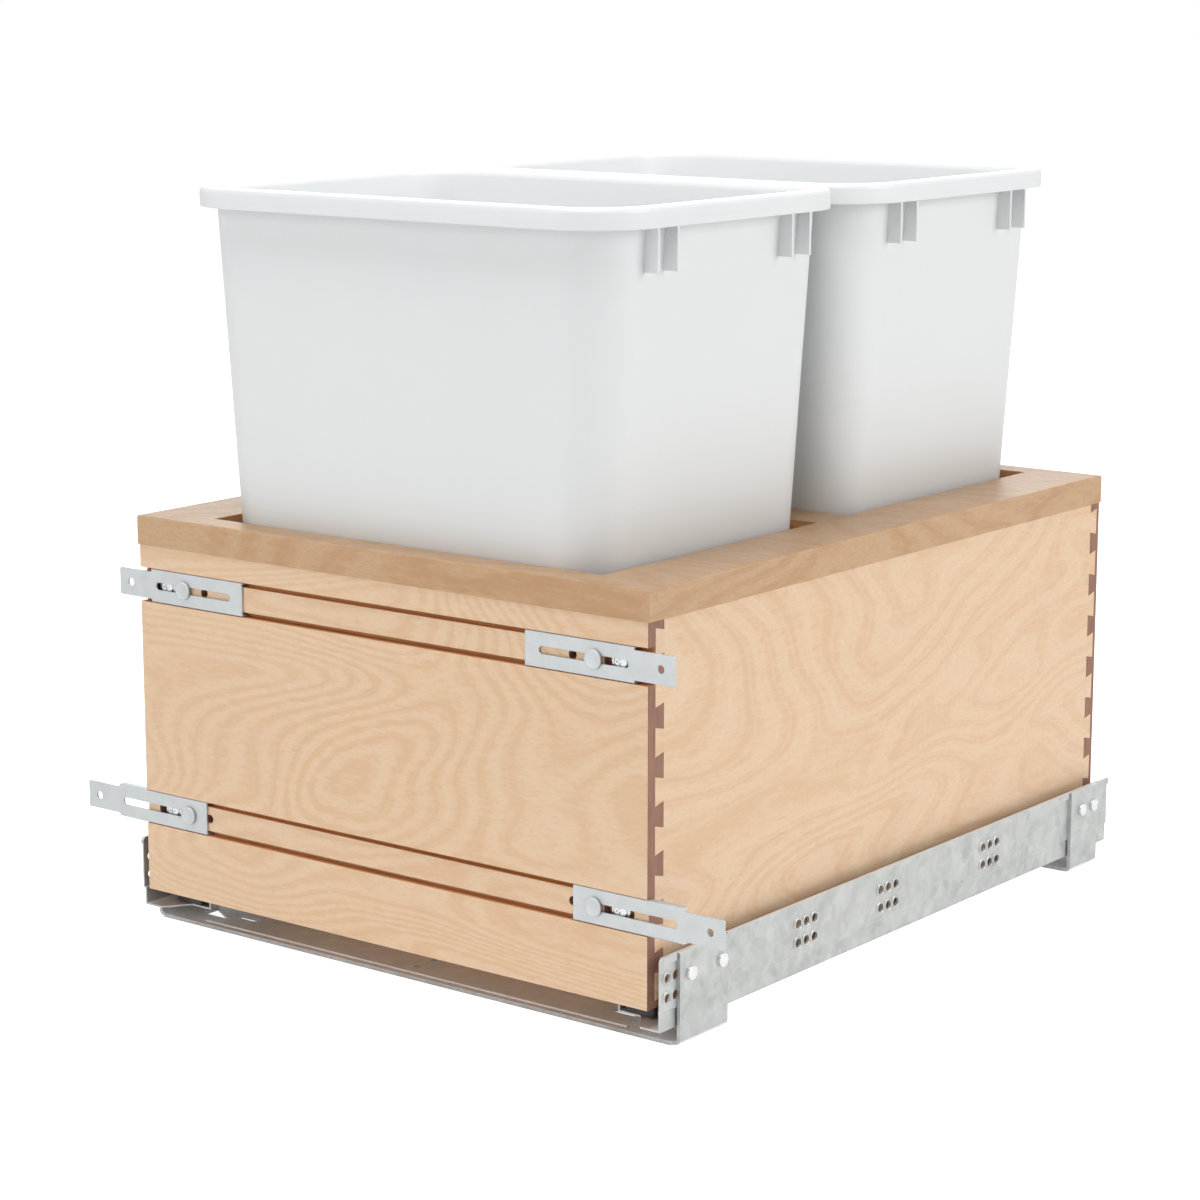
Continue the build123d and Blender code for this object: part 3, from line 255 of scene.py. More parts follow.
def turned(name, rings, sides, closed=False):
    """A turned form about Z: a disc drawn out ring by ring, each a radius and a height."""
    radius, height = rings[0]
    bpy.ops.mesh.primitive_circle_add(vertices=sides, radius=radius, location=(0, 0, height),
                                      fill_type="NOTHING" if closed else "NGON", enter_editmode=True)
    piece = bpy.context.object
    piece.name = name
    bpy.ops.object.mode_set(mode="OBJECT")
    piece.data.transform(piece.matrix_world)
    piece.matrix_world = Matrix.Identity(4)
    bpy.ops.object.mode_set(mode="EDIT")
    bpy.ops.mesh.select_all(action="SELECT")
    for radius_next, height_next in rings[1:] + (rings[:1] if closed else []):
        rise = {"value": (0, 0, height_next - height)}
        bpy.ops.mesh.extrude_region_move(TRANSFORM_OT_translate=rise)
        grow = radius_next / radius
        bpy.ops.transform.resize(value=(grow, grow, 1), center_override=(0, 0, height_next))
        radius, height = radius_next, height_next
    bpy.ops.mesh.select_all(action="SELECT")
    bpy.ops.mesh.remove_doubles(threshold=1e-7)
    bpy.ops.mesh.normals_make_consistent(inside=False)
    bpy.ops.object.mode_set(mode="OBJECT")
    bpy.ops.object.shade_smooth_by_angle(angle=SHARP)
    piece.select_set(False)
    return piece


def copies(pattern, places):
    """Copies of a turned piece, one to each matrix, joined into one piece. The pattern goes."""
    made = []
    for place in places:
        copy = bpy.data.objects.new(pattern.name + "_copy", pattern.data.copy())
        bpy.context.scene.collection.objects.link(copy)
        copy.data.transform(place)
        made.append(copy)
    name = pattern.name
    bpy.data.objects.remove(pattern)
    bpy.ops.object.select_all(action="DESELECT")
    for copy in made:
        copy.select_set(True)
    bpy.context.view_layer.objects.active = made[0]
    if len(made) > 1:
        bpy.ops.object.join()
    made[0].name = name
    made[0].select_set(False)
    return made[0]


def join_into(piece, *others):
    """Joins other pieces into one that keeps its name."""
    bpy.ops.object.select_all(action="DESELECT")
    for other in others:
        other.select_set(True)
    piece.select_set(True)
    bpy.context.view_layer.objects.active = piece
    bpy.ops.object.join()
    piece.select_set(False)
    return piece


def solids_of(node):
    """The lowest and highest corners of each separate solid of a node, from left to right."""
    shell = bmesh.new()
    shell.from_mesh(frame["nodes"][node].data)
    bmesh.ops.remove_doubles(shell, verts=shell.verts, dist=SAME_PLACE)
    waiting = set(shell.verts)
    found = []
    while waiting:
        reached = [waiting.pop()]
        member = []
        while reached:
            vert = reached.pop()
            member.append(vert.co.copy())
            for edge in vert.link_edges:
                other = edge.other_vert(vert)
                if other in waiting:
                    waiting.remove(other)
                    reached.append(other)
        low = Vector([min(co[i] for co in member) for i in range(3)])
        high = Vector([max(co[i] for co in member) for i in range(3)])
        found.append((low, high))
    shell.free()
    return sorted(found, key=lambda box: [round(value, 5) for value in box[0]])


def hole_middles(node, face_x, radius):
    """Middles of the round holes of a given radius in the face of a node at x."""
    shell = bmesh.new()
    shell.from_mesh(frame["nodes"][node].data)
    bmesh.ops.remove_doubles(shell, verts=shell.verts, dist=SAME_PLACE)
    rims = [edge for edge in shell.edges
            if all(abs(vert.co.x - face_x) < 1e-5 for vert in edge.verts)
            and abs(edge.calc_length() - 2 * radius * math.sin(math.pi / HOLE_SIDES)) < 2e-5
            and edge.calc_face_angle(0) > 1]
    middles = []
    while rims:
        loop = [rims.pop()]
        for edge in loop:
            for other in list(rims):
                if set(other.verts) & set(edge.verts):
                    loop.append(other)
                    rims.remove(other)
        if len(loop) == HOLE_SIDES:
            total = sum((vert.co for edge in loop for vert in edge.verts), Vector())
            middles.append(total / (2 * HOLE_SIDES))
    shell.free()
    return sorted(middles, key=lambda co: [round(value, 5) for value in co])


upright_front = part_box("front_floor_bracket")[0].y + FLOOR_SHEET
for side, hand in (("left", -1), ("right", 1)):
    node = side + "_cabinet_runner"
    low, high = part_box(node)
    runner = eased_copy(node, RUNNER_EASE)
    web_x = (high.x if hand > 0 else low.x) - hand * HEM
    collar = turned("collar", COLLAR_RINGS, COLLAR_SIDES, closed=True)
    outward = Matrix.Rotation(hand * math.pi / 2, 4, "Y")
    behind_upright = (upright_front - COLLAR_RADIUS, upright_front + UPRIGHT_WIDTH)
    clear = [middle for middle in hole_middles(node, web_x, RUNNER_HOLE_RADIUS)
             if not behind_upright[0] < middle.y < behind_upright[1]]
    collars = copies(collar, [Matrix.Translation(middle) @ outward for middle in clear])
    join_into(runner, collars)
    wipe_materials(runner, zinc, painted_light_zinc)
    # The runner's faces turned up take the lighter zinc: painted light on the floors.
    for face in runner.data.polygons:
        if abs(face.normal.z) > 0.7:
            face.material_index = 1
    take_finish(runner, node)

# ---------------------------------------------------------------- rivets
# Eight solid rivets, upset cold, hold the runners to the uprights. Their heads are thick flat discs,
# and the plating on them is brighter than the sheet's.
RIVET_HEAD = 0.0023
RIVET_SIDES = 40
RIVET_RINGS = [
    (0.0025, -0.0048), (0.0025, 0.0), (0.0043, 0.0), (0.0044, 0.0001), (0.0044, 0.0018),
    (0.00425, 0.00215), (0.0039, RIVET_HEAD), (0.0003, RIVET_HEAD),
]
ZINC_BRIGHT = (0.76, 0.77, 0.78, 1)
ZINC_BRUSHED = (0.72, 0.73, 0.74, 1)


def bright_plating():
    """Electroplated zinc on small turned and stamped pieces, faintly brushed."""
    material, nodes, links, shader = new_material("bright_plating")
    shader.inputs["Metallic"].default_value = 0.95
    cloud = noise(nodes, links, place_map(nodes, links, (300, 300, 300)), 3.0, 0.55)
    share = between(nodes, links, cloud, 0.35, 0.65)
    tone = blend_colours(nodes, links, share, ZINC_BRIGHT, ZINC_BRUSHED)
    links.new(tone, shader.inputs["Base Color"])
    links.new(between(nodes, links, cloud, 0.3, 0.7, 0.20, 0.32), shader.inputs["Roughness"])
    dented(nodes, links, cloud, shader, 0.00001, 0.1)
    return material


plating = bright_plating()
rivet = turned("rivets", RIVET_RINGS, RIVET_SIDES)
places = []
for low, high in solids_of("bracket_rivets"):
    hand = 1 if low.x > 0 else -1
    middle = (low + high) / 2
    face = (high.x if hand > 0 else low.x) - hand * RIVET_HEAD
    outward = Matrix.Rotation(hand * math.pi / 2, 4, "Y")
    places.append(Matrix.Translation((face, middle.y, middle.z)) @ outward)
rivets = copies(rivet, places)
wipe_materials(rivets, plating)
take_finish(rivets, "bracket_rivets")

# ---------------------------------------------------------------- slides, cages and rollers
# Between the fixed runner and the one under the drawer runs a middle channel, on two ladders of
# nylon that keep the nylon rollers apart. The channels are galvanised like the runners.
NYLON = (0.80, 0.79, 0.74, 1)
NYLON_SHADED = (0.72, 0.70, 0.64, 1)
ROLLER_EDGE = 0.0003
ROLLER_SIDES = 32


def nylon():
    """Natural nylon: milky, slightly waxy, with faint flow marks."""
    material, nodes, links, shader = new_material("nylon")
    cloud = noise(nodes, links, place_map(nodes, links, (90, 30, 90)), 3.0, 0.5)
    tone = blend_colours(nodes, links, cloud, NYLON, NYLON_SHADED)
    links.new(tone, shader.inputs["Base Color"])
    links.new(between(nodes, links, cloud, 0.3, 0.7, 0.34, 0.46), shader.inputs["Roughness"])
    shader.inputs["Subsurface Weight"].default_value = 0.1
    shader.inputs["Subsurface Radius"].default_value = (0.002, 0.002, 0.0015)
    dented(nodes, links, cloud, shader, 0.00003, 0.2)
    return material


milky = nylon()
for side in ("left", "right"):
    for part, finish in (("middle_slide", zinc), ("drawer_runner", zinc), ("rear_hook", zinc),
                         ("lower_roller_cage", milky), ("upper_roller_cage", milky)):
        node = side + "_" + part
        piece = eased_copy(node, RUNNER_EASE)
        wipe_materials(piece, finish)
        take_finish(piece, node)

for node in ("lower_rollers", "upper_rollers"):
    boxes = solids_of(node)
    low, high = boxes[0]
    radius = (high.z - low.z) / 2
    half = (high.x - low.x) / 2
    inner = radius - ROLLER_EDGE
    rings = [(inner, -half), (radius, ROLLER_EDGE - half), (radius, half - ROLLER_EDGE), (inner, half)]
    roller = turned(node + "_finished", rings, ROLLER_SIDES)
    lying = Matrix.Rotation(math.pi / 2, 4, "Y")
    rollers = copies(roller, [Matrix.Translation((low + high) / 2) @ lying for low, high in boxes])
    wipe_materials(rollers, milky)
    take_finish(rollers, node)

# ---------------------------------------------------------------- soft-close dampers
# Each damper is a moulded dark housing clipped beside the runner's curb, with a steel rod that the
# drawer pulls out over the last of its travel.
MOULD_EASE = 0.0004
ROD_LENGTH = 0.0475
DARK_MOULDING = (0.030, 0.031, 0.034, 1)
DARK_SHADED = (0.018, 0.018, 0.020, 1)


def dark_moulding():
    """Glass-filled nylon, dark grey, with a fine spark-eroded grain."""
    material, nodes, links, shader = new_material("dark_moulding")
    grain = noise(nodes, links, place_map(nodes, links, (2600, 2600, 2600)), 2.0, 0.5)
    cloud = noise(nodes, links, place_map(nodes, links, (70, 70, 70)), 3.0, 0.5)
    tone = blend_colours(nodes, links, cloud, DARK_MOULDING, DARK_SHADED)
    links.new(tone, shader.inputs["Base Color"])
    links.new(between(nodes, links, cloud, 0.3, 0.7, 0.42, 0.55), shader.inputs["Roughness"])
    dented(nodes, links, grain, shader, 0.00005, 0.35)
    return material


dark = dark_moulding()
for side in ("left", "right"):
    node = side + "_soft_close_damper"
    damper = eased_copy(node, MOULD_EASE)
    wipe_materials(damper, dark, plating)
    rod_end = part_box(node)[0].y + ROD_LENGTH
    for face in damper.data.polygons:
        if face.center.y < rod_end:
            face.material_index = 1
    take_finish(damper, node)

# ---------------------------------------------------------------- drawer box
# The box is of maple-faced plywood, 15 mm thick, lacquered clear. Its sides are dovetailed into the
# front and back, half blind, so their end grain shows as brown pins at the corners. Two saw kerfs
# and a shallow strip between them run across the front for each pair of door brackets.
VENEER = (0.685, 0.465, 0.287, 1)
VENEER_PALE = (0.765, 0.580, 0.408, 1)
VENEER_WARM = (0.650, 0.395, 0.215, 1)
END_GRAIN = (0.300, 0.150, 0.105, 1)
END_GRAIN_DARK = (0.210, 0.100, 0.070, 1)
END_GRAIN_RED = (0.36, 0.19, 0.13, 1)
SAWN = (0.68, 0.34, 0.15, 1)
SAWN_DARK = (0.52, 0.24, 0.09, 1)
WOOD_EASE = 0.00025
STRIP_RECESS = 0.0016
KERF_ZONE = (0.0003, 0.0145)
KERF_ENDS = 0.001
FINE_BANDS = 3.3


def contour_lines(nodes, links, field, count):
    """Lines of equal height in a field of noise, as a knife peels them from a log."""
    many = nodes.new("ShaderNodeMath")
    many.operation = "MULTIPLY"
    many.inputs[1].default_value = count
    links.new(field, many.inputs[0])
    fold = nodes.new("ShaderNodeMath")
    fold.operation = "PINGPONG"
    fold.inputs[1].default_value = 1.0
    links.new(many.outputs[0], fold.inputs[0])
    return fold.outputs[0]


def veneer(name, along, shift, tones=(VENEER, VENEER_PALE, VENEER_WARM), bands=80.0, ripple=0.2):
    """Rotary-cut maple: wavy bands of early wood, fine ripples inside them and short dark flecks."""
    tone, pale, warm = tones
    material, nodes, links, shader = new_material(name)

    def grained(lengthwise, crosswise, detail, roughness, distortion=0.0, moved=(0, 0, 0)):
        scale = (lengthwise, crosswise, crosswise) if along == "X" else (crosswise, lengthwise, crosswise)
        place = place_map(nodes, links, scale, shift=moved)
        return noise(nodes, links, place, detail, roughness, distortion)

    field = grained(1.9, 6.2, 2.0, 0.42, 0.5, shift)
    fleck = grained(240, 800, 2.0, 0.6)
    mottle = grained(70, 240, 3.0, 0.6)
    fibres = grained(70, 1500, 2.0, 0.5)
    cloud = grained(5, 9, 2.0, 0.5, 0.3, shift)
    wave = contour_lines(nodes, links, field, bands)
    fine = contour_lines(nodes, links, field, bands * FINE_BANDS)
    ragged = nodes.new("ShaderNodeMath")
    ragged.operation = "MULTIPLY_ADD"
    ragged.inputs[1].default_value = 1.1
    links.new(between(nodes, links, mottle, 0.25, 0.75), ragged.inputs[0])
    links.new(wave, ragged.inputs[2])
    colour = tone
    layers = ((cloud, 0.35, 0.65, 0.45, warm), (ragged.outputs[0], 0.65, 1.35, 0.6, pale),
              (fine, 0.35, 1.0, ripple, pale), (fleck, 0.45, 0.72, 0.4, warm), (fibres, 0.35, 0.7, 0.2, pale))
    for figure, weak, strong, share, other in layers:
        amount = between(nodes, links, figure, weak, strong, 0.0, share)
        colour = blend_colours(nodes, links, amount, colour, other)
    links.new(colour, shader.inputs["Base Color"])
    links.new(between(nodes, links, fleck, 0.3, 0.7, 0.42, 0.55), shader.inputs["Roughness"])
    shader.inputs["Coat Weight"].default_value = 0.12
    shader.inputs["Coat Roughness"].default_value = 0.35
    dented(nodes, links, fibres, shader, 0.00006, 0.25)
    return material


def end_grain():
    """The sawn ends of the plies: reddish brown, in thin upright stripes."""
    material, nodes, links, shader = new_material("end_grain")
    stripes = noise(nodes, links, place_map(nodes, links, (900, 900, 60)), 2.0, 0.6)
    cloud = noise(nodes, links, place_map(nodes, links, (120, 120, 40)), 3.0, 0.5)
    striped = between(nodes, links, stripes, 0.35, 0.65)
    colour = blend_colours(nodes, links, striped, END_GRAIN, END_GRAIN_DARK)
    clouded = between(nodes, links, cloud, 0.3, 0.7, 0.0, 0.4)
    colour = blend_colours(nodes, links, clouded, colour, END_GRAIN_RED)
    links.new(colour, shader.inputs["Base Color"])
    shader.inputs["Roughness"].default_value = 0.7
    dented(nodes, links, stripes, shader, 0.0001, 0.5)
    return material


def sawn_wood():
    """The inside of a kerf or hole: scorched a little by the blade."""
    material, nodes, links, shader = new_material("sawn_wood")
    streaks = noise(nodes, links, place_map(nodes, links, (40, 900, 900)), 2.0, 0.6)
    colour = blend_colours(nodes, links, between(nodes, links, streaks, 0.3, 0.7), SAWN, SAWN_DARK)
    links.new(colour, shader.inputs["Base Color"])
    shader.inputs["Roughness"].default_value = 0.8
    dented(nodes, links, streaks, shader, 0.0001, 0.5)
    return material


ends = end_grain()
sawn = sawn_wood()
across_front = veneer("veneer_front", "X", (0.35, 0.2, 0.1), bands=85.0, ripple=0.15)
across_back = veneer("veneer_back", "X", (4.3, 2.2, 7.1))
along_sides = veneer("veneer_sides", "Y", (1.7, 3.4, 5.0), bands=60.0, ripple=0.35)
along_bottom = veneer("veneer_bottom", "Y", (8.7, 0.4, 2.0))

front_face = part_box("front_panel")[0].y
for node, faced in (("front_panel", across_front), ("back_panel", across_back),
                    ("left_side_panel", along_sides), ("right_side_panel", along_sides),
                    ("bottom_panel", along_bottom)):
    panel = eased_copy(node, WOOD_EASE, 1)
    wipe_materials(panel, faced, ends, sawn)
    low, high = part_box(node)
    grain = 1 if "side" in node or "bottom" in node else 0
    for face in panel.data.polygons:
        behind = face.center.y - front_face
        across = low.x + KERF_ENDS < face.center.x < high.x - KERF_ENDS
        if abs(face.normal[grain]) > 0.6:
            face.material_index = 1
        elif node == "front_panel" and KERF_ZONE[0] < behind < KERF_ZONE[1] and across:
            on_strip = abs(behind - STRIP_RECESS) < 0.0002 and face.normal.y < -0.9
            face.material_index = 0 if on_strip else 2
    take_finish(panel, node)

# ---------------------------------------------------------------- top frame
# A frame of 19 mm maple, sanded and lacquered, sits on the box and holds the bins by their walls. Its
# rails run both ways, but every top face takes the grain across. Its top faces are painted darker than its
# edges, as painted shade against the lamp above.
# The tone for the rail tops is darker than the edges' tone: painted shade that offsets the lamp above.
RAIL_TOPS_PAINTED_SHADE = ((0.400, 0.245, 0.130, 1), (0.490, 0.330, 0.200, 1), (0.370, 0.195, 0.088, 1))
SIDE_RAILS = ((0.500, 0.320, 0.190, 1), (0.600, 0.430, 0.295, 1), (0.480, 0.270, 0.140, 1))
EDGES = ((0.470, 0.280, 0.140, 1), (0.560, 0.370, 0.215, 1), (0.430, 0.220, 0.090, 1))
FRAME_EASE = 0.0004
RAIL_BANDS = 60.0

top = eased_copy("top_frame", FRAME_EASE)
wipe_materials(top, veneer("rails_across_painted_shade", "X", (2.1, 6.4, 1.0), RAIL_TOPS_PAINTED_SHADE, RAIL_BANDS),
               veneer("rails_along", "Y", (5.1, 1.4, 3.0), SIDE_RAILS, RAIL_BANDS),
               veneer("edges_across", "X", (7.3, 0.9, 2.5), EDGES, RAIL_BANDS),
               veneer("edges_along", "Y", (3.3, 8.2, 4.1), EDGES, RAIL_BANDS), sawn)
low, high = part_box("top_frame")
for face in top.data.polygons:
    place = face.center
    outside = min(place.x - low.x, high.x - place.x, place.y - low.y, high.y - place.y) < 0.001
    if abs(face.normal.z) < 0.5 and not outside:
        face.material_index = 4
    elif abs(face.normal.x) > 0.5:
        face.material_index = 3
    elif abs(face.normal.y) > 0.5:
        face.material_index = 2
take_finish(top, "top_frame")

# ---------------------------------------------------------------- door brackets
# Four plates of 1.4 mm steel, zinc plated and tumbled to an even satin, that slide in the kerfs. The
# edges are turned back, and a plain tab beyond them takes the screw into the cabinet door.
PLATE_EASE = 0.0003
SATIN = (0.57, 0.60, 0.61, 1)
SATIN_SHADED = (0.52, 0.55, 0.56, 1)


def satin_plating():
    """Tumbled zinc plating: pale grey and even, with a very fine brushed grain along the plate."""
    material, nodes, links, shader = new_material("satin_plating")
    shader.inputs["Metallic"].default_value = 0.6
    cloud = noise(nodes, links, place_map(nodes, links, (110, 110, 110)), 4.0, 0.55)
    brushed = noise(nodes, links, place_map(nodes, links, (90, 2400, 2400)), 2.0, 0.6)
    tone = blend_colours(nodes, links, between(nodes, links, cloud, 0.3, 0.7), SATIN, SATIN_SHADED)
    links.new(tone, shader.inputs["Base Color"])
    links.new(between(nodes, links, brushed, 0.3, 0.7, 0.40, 0.5), shader.inputs["Roughness"])
    dented(nodes, links, brushed, shader, 0.00002, 0.25)
    return material


satin = satin_plating()
for level in ("upper", "lower"):
    for side in ("left", "right"):
        node = level + "_" + side + "_door_bracket"
        plate = eased_copy(node, PLATE_EASE)
        wipe_materials(plate, satin)
        take_finish(plate, node)

# ---------------------------------------------------------------- clamp knobs and pocket screws
# A flat-headed steel screw, turned and plated, clamps each bracket through its slot. Beside it, in a
# round pocket of the front panel, a second screw with a cross recess bears on a thick washer.
KNOB_SIDES = 48
KNOB_RINGS = [
    (0.0020, 0.0155), (0.0020, 0.0018), (0.0057, 0.0018), (0.0060, 0.0015), (0.0060, 0.0004),
    (0.0057, 0.0001), (0.0053, 0.0), (0.0048, 0.0), (0.0045, 0.00012), (0.0003, 0.00012),
]
WASHER = (0.0068, 0.0034)
SCREW_HEAD = (0.0050, 0.0012)
SCREW_SIDES = 40
CROSS = (0.0056, 0.0011, 0.0011)

knob = turned("knobs", KNOB_RINGS, KNOB_SIDES)
facing = Matrix.Rotation(-math.pi / 2, 4, "X")
places = []
for low, high in solids_of("clamp_knobs"):
    middle = (low + high) / 2
    places.append(Matrix.Translation((middle.x, low.y, middle.z)) @ facing)
knobs = copies(knob, places)
wipe_materials(knobs, satin)
take_finish(knobs, "clamp_knobs")


def cross_screw():
    """A thick washer and a pan head about Z, facing down, with the cross pressed into its face."""
    washer, washer_thick = WASHER
    head, head_thick = SCREW_HEAD
    length_of_arm, width_of_arm, depth_of_arm = CROSS
    face = -washer_thick - head_thick
    rings = [(0.0003, 0.0), (washer - 0.0002, 0.0), (washer, -0.0002), (washer, 0.0002 - washer_thick),
             (washer - 0.0002, -washer_thick), (head, -washer_thick), (head, face + 0.0007),
             (head - 0.0003, face + 0.0003), (head - 0.0008, face + 0.0001), (head - 0.0014, face),
             (0.0003, face)]
    screw = turned("pocket_screws_finished", rings, SCREW_SIDES)
    for length, width in ((length_of_arm, width_of_arm), (width_of_arm, length_of_arm)):
        bpy.ops.mesh.primitive_cube_add(size=1, location=(0, 0, face))
        bar = bpy.context.object
        shape = Matrix.Diagonal((length, width, 2 * depth_of_arm, 1))
        bar.data.transform(Matrix.Translation((0, 0, face)) @ shape)
        bar.matrix_world = Matrix.Identity(4)
        cut = screw.modifiers.new("cross", "BOOLEAN")
        cut.object = bar
        cut.solver = "EXACT"
        alone(screw)
        bpy.ops.object.modifier_apply(modifier=cut.name)
        bpy.data.objects.remove(bar)
    screw.select_set(False)
    return screw


places = []
for low, high in solids_of("pocket_screws"):
    middle = (low + high) / 2
    places.append(Matrix.Translation((middle.x, high.y, middle.z)) @ facing)
screws = copies(cross_screw(), places)
wipe_materials(screws, plating)
take_finish(screws, "pocket_screws")

# ---------------------------------------------------------------- locking clips
# Under each front corner a dark moulded clip locks the drawer to its runner. A flat lever, turned
# about a steel pin with a thumb on its grip, lets the drawer off.
PIN_EASE = 0.00015
for side in ("left", "right"):
    for part in ("clip_body", "clip_lever"):
        node = side + "_" + part
        piece = eased_copy(node, MOULD_EASE)
        wipe_materials(piece, dark)
        take_finish(piece, node)
pins = eased_copy("clip_pins", PIN_EASE)
wipe_materials(pins, plating)
take_finish(pins, "clip_pins")

# ---------------------------------------------------------------- bins
# Two injection-moulded polypropylene bins. The tub tapers to its foot, and a flat rim with a
# turned-down band stiffens its mouth. Two pairs of fins on each short side prop the rim.
BIN_MOUTH = (0.3294, 0.2370, 0.0355)
BIN_FOOT = (0.2720, 0.2096, 0.0240)
BIN_WALL = 0.0024
BIN_BAND = 0.0130
BIN_TOP_THICK = 0.0030
RIM_ROUND = 0.0111
CORNER_STEPS = 14
FOOT_OUTSIDE = (
    (0.0002, 0.0100), (0.0, 0.0055), (0.0006, 0.0032), (0.0018, 0.0014), (0.0036, 0.0004), (0.0060, 0.0),
)
RIM_BAND = (
    (0.0030, 0.0031), (0.0022, 0.0038), (0.0022, 0.0122), (0.0019, 0.0128), (0.0011, 0.0130),
    (0.0003, 0.0128), (0.0, 0.0122), (0.0, 0.0034), (0.0003, 0.0020), (0.0011, 0.0009),
    (0.0022, 0.0002), (0.0036, 0.0),
)
MOUTH_INSIDE = ((-0.0016, 0.0001), (0.0000, 0.0004), (0.0012, 0.0012), (0.0020, 0.0028), (0.0024, 0.0050))
FOOT_INSIDE = ((0.0075, 0.0), (0.0048, 0.0006), (0.0032, 0.0020), (0.0025, 0.0042), (0.0024, 0.0080))
FIN_THICK = 0.0020
FIN_DROP = 0.0265
FIN_INSET = 0.0016
FIN_EASE = 0.0003
FIN_PLACES = (0.059, 0.078)
WHITE = (0.765, 0.785, 0.785, 1)
WHITE_SHADED = (0.74, 0.76, 0.765, 1)
# Lighter white for the bins' insides and upturned faces: painted light from above.
WHITE_LIT = (0.955, 0.97, 0.98, 1)
WHITE_LIT_SHADED = (0.94, 0.955, 0.965, 1)


def white_moulding(name, white, shaded):
    """White polypropylene, satin, with a hint of translucence and the mould's very soft waves."""
    material, nodes, links, shader = new_material(name)
    waves = noise(nodes, links, place_map(nodes, links, (6, 6, 3)), 2.0, 0.5)
    grain = noise(nodes, links, place_map(nodes, links, (1500, 1500, 1500)), 2.0, 0.5)
    tone = blend_colours(nodes, links, waves, white, shaded)
    links.new(tone, shader.inputs["Base Color"])
    links.new(between(nodes, links, waves, 0.3, 0.7, 0.30, 0.36), shader.inputs["Roughness"])
    shader.inputs["Subsurface Weight"].default_value = 0.15
    shader.inputs["Subsurface Radius"].default_value = (0.004, 0.004, 0.004)
    dented(nodes, links, grain, shader, 0.00001, 0.15)
    return material


def add_ring(width, depth, radius, middle, z):
    """Adds a rounded rectangle to the mesh being edited and leaves it selected."""
    bpy.ops.mesh.select_all(action="DESELECT")
    bpy.ops.mesh.primitive_plane_add(size=1, location=(middle.x, middle.y, z))
    bpy.ops.transform.resize(value=(width, depth, 1), center_override=(middle.x, middle.y, z))
    bpy.ops.mesh.bevel(offset=radius, offset_type="OFFSET", segments=CORNER_STEPS, affect="VERTICES")
    bpy.ops.mesh.delete(type="ONLY_FACE")


def pick_rings(piece, heights, count):
    """Selects whole rings by their order of making."""
    bpy.ops.mesh.select_all(action="DESELECT")
    mesh = bmesh.from_edit_mesh(piece.data)
    mesh.verts.ensure_lookup_table()
    for number in heights:
        for vert in mesh.verts[number * count:(number + 1) * count]:
            vert.select = True
    mesh.select_flush(True)
    bmesh.update_edit_mesh(piece.data)


def tub_at(rise, tall, inset):
    """Width, depth and corner radius of the tub at a height above its foot, drawn in by an inset."""
    share = rise / tall
    width, depth, radius = (foot + share * (mouth - foot) for foot, mouth in zip(BIN_FOOT, BIN_MOUTH))
    return width - 2 * inset, depth - 2 * inset, radius - inset


def model_bin(node):
    """Draws the bin as rounded rings, from the middle of its foot up, over the rim and down inside."""
    low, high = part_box(node)
    middle = (low + high) / 2
    tall = high.z - low.z
    rim_width, rim_depth = high.x - low.x, high.y - low.y
    rim_radius = BIN_MOUTH[2] + RIM_ROUND
    under_rim = ((tall - BIN_BAND - 0.0012, 0.0), (tall - BIN_TOP_THICK - 0.0012, 0.0))
    rings = []
    for rise, inset in FOOT_OUTSIDE + under_rim:
        rings.append((*tub_at(rise, tall, inset), rise))
    rings.append((*tub_at(tall, tall, -0.0018), tall - BIN_TOP_THICK))
    for inset, drop in RIM_BAND:
        rings.append((rim_width - 2 * inset, rim_depth - 2 * inset, rim_radius - inset, tall - drop))
    for inset, drop in MOUTH_INSIDE:
        rings.append((*tub_at(tall - drop, tall, inset), tall - drop))
    for rise, round_in in FOOT_INSIDE:
        rings.append((*tub_at(rise, tall, BIN_WALL + round_in), rise))
    bpy.ops.mesh.primitive_plane_add(size=1, location=(0, 0, 0), enter_editmode=True)
    piece = bpy.context.object
    piece.name = node + "_finished"
    bpy.ops.mesh.select_all(action="SELECT")
    bpy.ops.mesh.delete(type="VERT")
    for width, depth, radius, rise in rings:
        add_ring(width, depth, radius, middle, low.z + rise)
    count = len(bmesh.from_edit_mesh(piece.data).verts) // len(rings)
    for number in range(len(rings) - 1):
        pick_rings(piece, (number, number + 1), count)
        bpy.ops.mesh.bridge_edge_loops()
    for number in (0, len(rings) - 1):
        pick_rings(piece, (number,), count)
        bpy.ops.mesh.edge_face_add()
    bpy.ops.mesh.select_all(action="SELECT")
    bpy.ops.mesh.normals_make_consistent(inside=False)
    bpy.ops.object.mode_set(mode="OBJECT")
    return piece


def model_fin(name, hand, y, node):
    """One fin: a thin plate from the tub's wall to the rim's band, with its edges eased."""
    low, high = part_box(node)
    tall = high.z - low.z
    outer = (high.x - low.x) / 2 - FIN_INSET
    bpy.ops.mesh.primitive_cube_add(size=1, location=(0, 0, 0), enter_editmode=True)
    fin = bpy.context.object
    fin.name = name
    mesh = bmesh.from_edit_mesh(fin.data)
    for vert in mesh.verts:
        rise = tall - BIN_TOP_THICK / 2 if vert.co.z > 0 else tall - BIN_BAND - FIN_DROP
        wall = tub_at(rise, tall, BIN_WALL / 2)[0] / 2
        reach = outer if vert.co.x > 0 else wall
        vert.co = (hand * reach, y + math.copysign(FIN_THICK / 2, vert.co.y), low.z + rise)
    bmesh.update_edit_mesh(fin.data)
    bpy.ops.mesh.select_all(action="SELECT")
    bpy.ops.mesh.normals_make_consistent(inside=False)
    bpy.ops.mesh.bevel(offset=FIN_EASE, segments=2, affect="EDGES")
    bpy.ops.object.mode_set(mode="OBJECT")
    return fin


